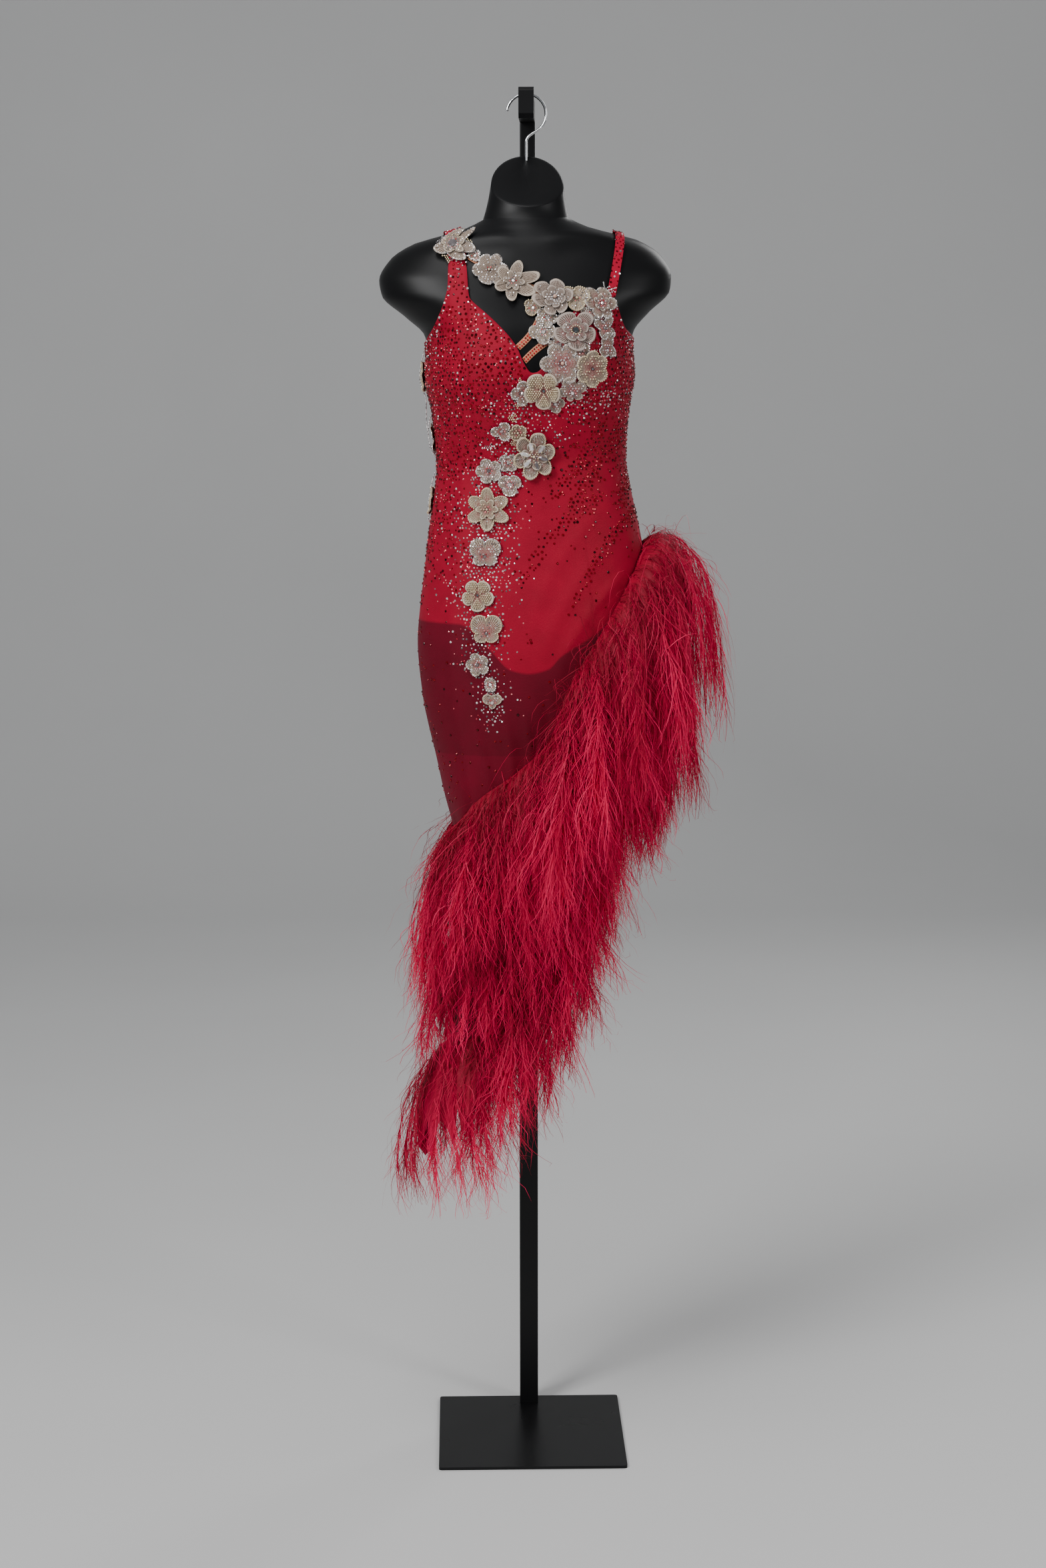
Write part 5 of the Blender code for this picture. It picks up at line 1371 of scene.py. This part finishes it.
# Strips: line, plumes, strands a plume, length and reach at the left and at the right, gap to the pole
STRIPS = {
    "upper_feathers": (UPPER_LINE, 230, 80, (0.225, 0.205), (0.058, 0.100), 0.011),
    "middle_feathers": (MIDDLE_LINE, 150, 72, (0.170, 0.190), (0.045, 0.046), 0.022),
    "hem_feathers": (LOWER_LINE, 180, 110, (0.190, 0.152), (0.080, 0.026), 0.033),
}
# Plumes: height of the root over the cloth, sideways sway, power of the drop at the left and at the right,
# rise over the strip as a share of the length, the pole's clearance across, and the power of the reach
ROOT_LIFT, LOCK_SWAY, LOCK_DROP, LOCK_RISE = 0.0025, 0.012, (1.25, 1.75), 0.13
POLE_CLEAR, SPRING = (0.038, 0.075), 2.2
# Barbs: rows of points, half width at the root, taper, share that strays, droop, and share kept behind
STRAND_ROWS, BARB_HALF, BARB_TAPER, STRAYS, DROOP, BACK_SHARE = 8, (0.00034, 0.00068), 0.6, 0.07, 0.030, 0.56
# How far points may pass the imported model's box
LIMIT = 0.015
# Chance: the first strip's seed, the spread of the plumes' lengths, rises and sways, the power that sends
# them inwards, and the tones of plumes (middle, spread) and of barbs
FIRST_SEED, LENGTH_SPREAD, RISE_SPREAD, SWAY_SPREAD, INNER_POWER = 30, (-0.18, 0.10), (-0.4, 0.25), 0.020, 1.4
PLUME_TONE, BARB_TONE = (0.45, 0.34), 0.15
# A barb: power and share of its start along the plume, its span, the shape and scale of its spread, its slow
# turns and their reach, the winding and the reach of its curl
START_POWER, LAST_START, SPAN, SPREAD = 0.80, 0.88, (0.17, 0.36), (2.8, 0.0050)
SLOW_TURNS, WANDER, WINDING, CURL = (0.8, 2.2), (0.0035, 0.0120), (1.5, 6.0), (0.0010, 0.0085)
# Down under the barbs: how far inside the plumes it lies, its rows, how far down it ends, its ridges
DOWN_INNER = 0.55
DOWN_ROWS = 9
DOWN_END = (0.50, 0.85)
DOWN_COLUMNS = 3
DOWN_RIDGE = 0.0026


class Plumes:
    """Middle lines of a strip's plumes: out from the strip, then down under their weight.

    Lengths, reaches and drops run evenly from the left side to the right one. loose is 1 for plumes that
    differ by chance and 0 for even ones.
    """

    def __init__(self, turns, line, lengths, reaches, pole_gap, rng, loose=1.0):
        count = len(turns)
        z = reach_line(turns, line)
        self.root = layer(turns, z, fit(z) + WALL + ROOT_LIFT)
        self.out = unit(outward(turns, z) * [1, 1, 0])
        self.beside = np.stack([-self.out[:, 1], self.out[:, 0], 0 * turns], axis=1)
        side = (1 + np.sin(turns)) / 2
        uneven = 1 + loose * rng.uniform(*LENGTH_SPREAD, count)
        self.length = (lengths[0] + (lengths[1] - lengths[0]) * side) * uneven
        inner = DOWN_INNER + loose * (rng.uniform(0, 1, count) ** INNER_POWER - DOWN_INNER)
        reach = (reaches[0] + (reaches[1] - reaches[0]) * side) * (1.04 - 0.70 * inner)
        room = POLE_FACE - pole_gap - self.root[:, 1]
        free = soft_step(np.abs(self.root[:, 0]), *POLE_CLEAR)
        held = np.minimum(reach, room + (reach - room) * free)
        self.reach = np.where((self.out[:, 1] > 0) & (room < reach), held, reach)
        self.sway = LOCK_SWAY * np.sin(3 * turns + z * 9) + loose * rng.normal(0, SWAY_SPREAD, count)
        self.power = LOCK_DROP[0] + (LOCK_DROP[1] - LOCK_DROP[0]) * side
        uneven = 1 + loose * rng.uniform(*RISE_SPREAD, count)
        self.rise = LOCK_RISE * self.length * side ** 4 * (0.95 + 0.65 * inner) * uneven

    def middle(self, k, share):
        """Point of plume k at a share s of its length.

        It goes out by 1 less a power of 1 - s, falls by a power of s less a half wave, and sways by s
        squared.
        """
        s = share[..., None]
        root, out, beside = (a[k][:, None] for a in (self.root, self.out, self.beside))
        length, reach, sway, power, rise = (a[k][:, None, None] for a in
                                            (self.length, self.reach, self.sway, self.power, self.rise))
        bent = np.minimum(s, 1)
        spring = 1 - (1 - bent) ** SPRING
        drop = length * s ** power - rise * np.sin(pi * bent)
        return root + out * reach * spring - drop * [0, 0, 1] + beside * sway * s ** 2


def strand_mesh(plumes, owners, rng):
    """Barbs as tapered ribbons, each a quad strip with a triangle at its tip.

    A barb runs along a part of its plume's middle line, fans out from it by a power of its own length,
    droops, wanders by slow sines and curls at the tip by a spiral. Some stray further.
    """
    count = len(owners)
    up = np.array([0, 0, 1.0])

    def draw(low, high):
        """One number by chance for each barb."""
        return rng.uniform(low, high, (count, 1, 1))
    t = np.linspace(0, 1, STRAND_ROWS)[None, :, None]
    start, span = draw(0.0, 1.0) ** START_POWER * LAST_START, draw(*SPAN)
    stray = draw(0, 1) < STRAYS
    share = np.minimum(start + span * t * np.where(stray, 0.8, 1.0), 1.10)[..., 0]
    out, beside = plumes.out[owners][:, None], plumes.beside[owners][:, None]
    way = draw(0, 2 * pi)
    spread = rng.gamma(*SPREAD, (count, 1, 1)) * np.where(stray, 1.5, 1.15 - 0.65 * start)
    lift = draw(-0.4, 1.0) * (1 - start)
    fan = (beside * np.cos(way) * 1.3 + out * np.sin(way) * 0.6 + up * lift) * spread * t ** 0.8
    fan = fan + up * np.where(stray, spread * 0.8, 0.0) * np.sin(pi * np.minimum(t * 0.8, 1))
    fan = fan - up * draw(0.0, DROOP) * (1 - start) * t ** 1.8
    turns, phase, other = draw(*SLOW_TURNS) * pi, draw(0, 2 * pi), draw(0, 2 * pi)
    wander = (beside * (np.sin(turns * t + phase) - np.sin(phase))
              + out * (np.sin(turns * 0.8 * t + other) - np.sin(other)))
    wander = wander * draw(*WANDER) * t
    wind, hook = draw(*WINDING) * np.where(draw(0, 1) < 0.5, -1, 1), draw(*CURL)
    bend = wind * t ** 2.2 + phase
    curl = (beside * (np.cos(bend) - np.cos(phase)) + up * (np.sin(bend) - np.sin(phase))) * hook * t
    line = plumes.middle(owners, share) + fan + wander + curl
    face = draw(0, 2 * pi)
    width = unit(beside * np.cos(face) + out * np.sin(face) + up * 0.2)
    half = draw(*BARB_HALF) * (1 - BARB_TAPER * t[:, :-1])
    rows = STRAND_ROWS - 1
    pairs = np.stack([line[:, :-1] + width * half, line[:, :-1] - width * half], axis=2)
    points = np.concatenate([pairs.reshape(count, -1, 3), line[:, -1:]], axis=1)
    size = 2 * rows + 1
    first = size * np.arange(count)[:, None, None]
    k = 2 * np.arange(rows - 1)[:, None]
    quads = (first + np.concatenate([k, k + 1, k + 3, k + 2], axis=1)[None]).reshape(-1, 4)
    tips = (first[:, 0] + [size - 3, size - 2, size - 1]).reshape(-1, 3)
    # Share of the plume's length at each point, which the feather finish turns into painted shade towards the
    # root
    along = start[:, 0] + span[:, 0] * np.append(np.repeat(t[0, :-1, 0], 2), 1.0)[None, :]
    return points.reshape(-1, 3), quads, tips, along


def down_sheet(plumes, rng):
    """Sheet of down that lies under the barbs: a ridge for each plume, ended unevenly. Its along stays under
    0.55, which keeps it in the feathers' deep reds: painted shade under the barbs.
    """
    count = len(plumes.out)
    share = np.linspace(0, 1, DOWN_ROWS)[None, :] * rng.uniform(*DOWN_END, (count, 1))
    ridge = rng.normal(0, DOWN_RIDGE, (count, 1, 1)) * (0.3 + share[..., None])
    points = plumes.middle(np.arange(count), share) + plumes.out[:, None] * ridge
    tone = np.repeat(rng.uniform(0, 0.8, count), DOWN_ROWS)
    # along held under 0.55: the down keeps the deeper reds, a painted shade under the barbs
    return np.swapaxes(points, 0, 1), (share * 0.55).T.ravel(), tone.reshape(count, DOWN_ROWS).T.ravel()


def along_line(line, count, rng):
    """Turns of the plumes' roots, evenly apart along the strip with a little chance."""
    fine = np.linspace(0, 2 * pi, ROUND_STEPS)
    roots = body(fine, reach_line(fine, line))
    run = run_along(roots)
    return np.interp((np.arange(count) + rng.uniform(0, 1, count)) * run[-1] / count, run, fine)


def held_in(points):
    """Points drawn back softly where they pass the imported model's box, by the hyperbolic tangent."""
    low, high = np.array(CAD_BOX)
    past = points - np.clip(points, low, high)
    return points - past + LIMIT * np.tanh(past / LIMIT)


def make_feathers():
    """Each strip is a sheet of down and the barbs before and behind the form."""
    for seed, (name, (line, plumes, strands, lengths, reaches, pole_gap)) in enumerate(STRIPS.items()):
        rng = np.random.default_rng(FIRST_SEED + seed)
        turns = along_line(line, plumes, rng)
        made = Plumes(turns, line, lengths, reaches, pole_gap, rng)
        owners = np.repeat(np.arange(plumes), strands)
        tone = np.clip(rng.normal(*PLUME_TONE, plumes), 0, 1)
        columns = DOWN_COLUMNS * plumes
        under = Plumes(along_line(line, columns, rng), line, lengths, reaches, pole_gap, rng, 0.0)
        points, along, tones = down_sheet(under, rng)
        faces = grid_quads(DOWN_ROWS, columns, True)
        piece(name + "_down", held_in(world(points.reshape(-1, 3))), faces, None, FEATHER,
              (name,), values={"along": along, "tone": tones})
        for side, front, kept in (("front", True, 1.0), ("back", False, BACK_SHARE)):
            mine = owners[((np.cos(turns[owners]) > 0) == front) & (rng.uniform(0, 1, len(owners)) < kept)]
            points, quads, tips, along = strand_mesh(made, mine, rng)
            each = len(points) // len(mine)
            tones = np.clip(np.repeat(tone[mine] + rng.normal(0, BARB_TONE, len(mine)), each), 0, 1)
            piece(f"{name}_{side}", held_in(world(points)), quads, tips, FEATHER, (name,),
                  values={"along": along, "tone": tones})


# Hook ---------------------------------------------------------------------------------------------

# Wire of the hook in the arm's frame: its radius, the turn's middle height, radius and ends, then the bend
# and the shank as (aside, drop under the middle)
WIRE_RADIUS = 0.00175
HOOK_MIDDLE, HOOK_RADIUS, HOOK_ARC = 1.79095, 0.0256, (radians(173), radians(-42))
HOOK_BEND = ((0.0135, 0.0215), (0.0070, 0.0252), (0.0025, 0.0290), (0.0, 0.0345), (0.0, 0.0450),
             (0.0, 0.08535))
HOOK_SIDES, HOOK_ROWS, ARC_POINTS, END_ROWS = 16, 150, 17, 6


def make_hook():
    """Round wire along a turn, a bend and a shank, rounded off at both ends.

    A ring of points stands square on the middle line at each row. Its radius falls to nothing at the ends
    as a ball's does.
    """
    turns = np.linspace(*HOOK_ARC, ARC_POINTS)
    arc = np.stack([HOOK_RADIUS * np.cos(turns), -HOOK_RADIUS * np.sin(turns)], axis=1)
    x, drop = np.concatenate([arc, HOOK_BEND]).T
    run = run_along(np.stack([x, drop], axis=1))
    near_end = WIRE_RADIUS * (1 - np.cos(np.linspace(0, pi / 2, END_ROWS)))
    at = np.concatenate([near_end, np.linspace(WIRE_RADIUS, run[-1] - WIRE_RADIUS, HOOK_ROWS)[1:-1],
                         run[-1] - near_end[::-1]])
    line = np.stack([smooth(at, run, x), 0 * at - HOOK_REACH, HOOK_MIDDLE - smooth(at, run, drop)], axis=1)
    along = unit(np.gradient(line, at, axis=0))
    beside = np.cross(along, [0, 1.0, 0])
    end = np.clip(np.minimum(at, run[-1] - at) / WIRE_RADIUS, 0, 1)
    radius = WIRE_RADIUS * np.sqrt(np.maximum(1 - (1 - end) ** 2, 1e-4))[:, None, None]
    angle = np.linspace(0, 2 * pi, HOOK_SIDES, endpoint=False)[None, :, None]
    ring = beside[:, None] * np.cos(angle) + np.array([0, 1.0, 0]) * np.sin(angle)
    points = (line[:, None] + ring * radius).reshape(-1, 3)
    c, s = cos(ARM_TURN), sin(ARM_TURN)
    points = points @ np.array([[c, s, 0], [-s, c, 0], [0, 0, 1.0]]) + [0, POLE_Y, 0]
    piece("hook_wire", points, grid_quads(len(at), HOOK_SIDES, True), None, CHROME,
          ("hanger_hook",))


# Stage, light and camera --------------------------------------------------------------------------

CAMERA_PLACE = (-0.0923, -3.6576, 1.5019)
CAMERA_YAW, CAMERA_PITCH, CAMERA_ROLL = radians(1.2948), radians(9.1328), radians(-0.0895)
CAMERA_LENS, SENSOR = 63.56, 36.0


# Area lights: place, width and height, power. All point at the dress's middle
LIGHT_TARGET = (0, 0, 1.1)
LIGHTS = {
    "key": ((-1.9, -2.4, 2.9), (1.1, 1.3), 78),
    "fill": ((2.3, -2.1, 1.9), (0.8, 1.4), 24),
    "rim": ((1.6, 2.2, 2.6), (1.0, 1.6), 26),
    "top": ((-0.5, -1.1, 3.5), (1.2, 1.2), 24),
}
SKY, SKY_STRENGTH = (0.9, 0.92, 0.95, 1), 0.24
# Floor: half its size, where the backdrop starts, the radius of its bend, its height, rows of the flat and
# of the bend
FLOOR_HALF, BACKDROP_AT, BACKDROP_BEND, BACKDROP_HIGH, FLAT_ROWS, BEND_ROWS = 7, 3.5, 1.5, 6.0, 8, 13
FLOOR_DROP = 0.0002


def stand_up(name, data, right, up, back, place):
    """Camera or light at a place, turned by its own X, Y and Z axes."""
    stand = bpy.data.objects.new(name, data)
    turned = np.eye(4)
    turned[:3] = np.stack([right, up, back, place], axis=1)
    stand.matrix_world = Matrix(turned.tolist())
    bpy.context.scene.collection.objects.link(stand)
    return stand


def make_camera():
    """Camera turned by its yaw, pitch and roll."""
    camera = bpy.data.cameras.new("camera")
    camera.lens, camera.sensor_width = CAMERA_LENS, SENSOR
    level, fall = cos(CAMERA_PITCH), -sin(CAMERA_PITCH)
    ahead = np.array([sin(CAMERA_YAW) * level, cos(CAMERA_YAW) * level, fall])
    right = np.array([cos(CAMERA_YAW), -sin(CAMERA_YAW), 0.0])
    up = np.cross(right, ahead)
    rolled = right * cos(CAMERA_ROLL) + up * sin(CAMERA_ROLL)
    up = up * cos(CAMERA_ROLL) - right * sin(CAMERA_ROLL)
    bpy.context.scene.camera = stand_up("camera", camera, rolled, up, -ahead, CAMERA_PLACE)


def make_light(name, place, size, power):
    """Rectangular area light that points at the dress's middle."""
    lamp = bpy.data.lights.new(name, "AREA")
    lamp.shape, lamp.size, lamp.size_y, lamp.energy = "RECTANGLE", size[0], size[1], power
    back = unit(np.array(place) - np.array(LIGHT_TARGET))
    right = unit(np.cross([0, 0, 1.0], back))
    stand_up(name, lamp, right, np.cross(back, right), back, place)


def make_stage():
    """Pale floor that curves up into a backdrop by a quarter of a circle, the lights and a weak sky."""
    finish = floor_finish("pale studio floor", (0.72, 0.72, 0.715), (0.78, 0.78, 0.775))
    across = np.linspace(-FLOOR_HALF, FLOOR_HALF, 3)
    bend = np.linspace(0, pi / 2, BEND_ROWS + 1)[1:]
    along = np.concatenate([np.linspace(-FLOOR_HALF, BACKDROP_AT, FLAT_ROWS),
                            BACKDROP_AT + BACKDROP_BEND * np.sin(bend), [BACKDROP_AT + BACKDROP_BEND]])
    rise = np.concatenate([np.zeros(FLAT_ROWS), BACKDROP_BEND - BACKDROP_BEND * np.cos(bend),
                           [BACKDROP_HIGH]])
    x, y = np.meshgrid(across, along)
    points = np.stack([x, y, rise[:, None] + 0 * x - FLOOR_DROP], axis=-1).reshape(-1, 3)
    mesh = bpy.data.meshes.new("studio_floor")
    mesh.from_pydata(points.tolist(), [], grid_quads(len(along), len(across)).tolist())
    mesh.polygons.foreach_set("use_smooth", np.ones(len(mesh.polygons), bool))
    floor = bpy.data.objects.new("studio_floor", mesh)
    bpy.context.scene.collection.objects.link(floor)
    mesh.materials.append(finish.material)
    for name, (place, size, power) in LIGHTS.items():
        make_light(name, place, size, power)
    sky = bpy.data.worlds.new("studio")
    sky.use_nodes = True
    backdrop = sky.node_tree.nodes["Background"]
    backdrop.inputs["Color"].default_value, backdrop.inputs["Strength"].default_value = SKY, SKY_STRENGTH
    bpy.context.scene.world = sky


def dress_nodes():
    """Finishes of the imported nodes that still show."""
    finishes = {"base_plate": PLATE, "lower_pole": POLE, "upper_pole": POLE, "pole_collar": POLE,
                "stand_arm": POLE, "left_strap": STRAP_RED, "right_strap": STRAP_RED,
                "brief_front": LINING, "brief_back": LINING}
    for name, finish in finishes.items():
        for slot in frame["nodes"][name].material_slots:
            slot.material = finish.material


make_camera()
make_stage()
dress_nodes()
form_skin()
dress_front()
dress_back()
make_lace(np.random.default_rng(4))
make_bands(np.random.default_rng(7))
make_stones(np.random.default_rng(11))
strap_stones(np.random.default_rng(17))
make_feathers()
make_hook()
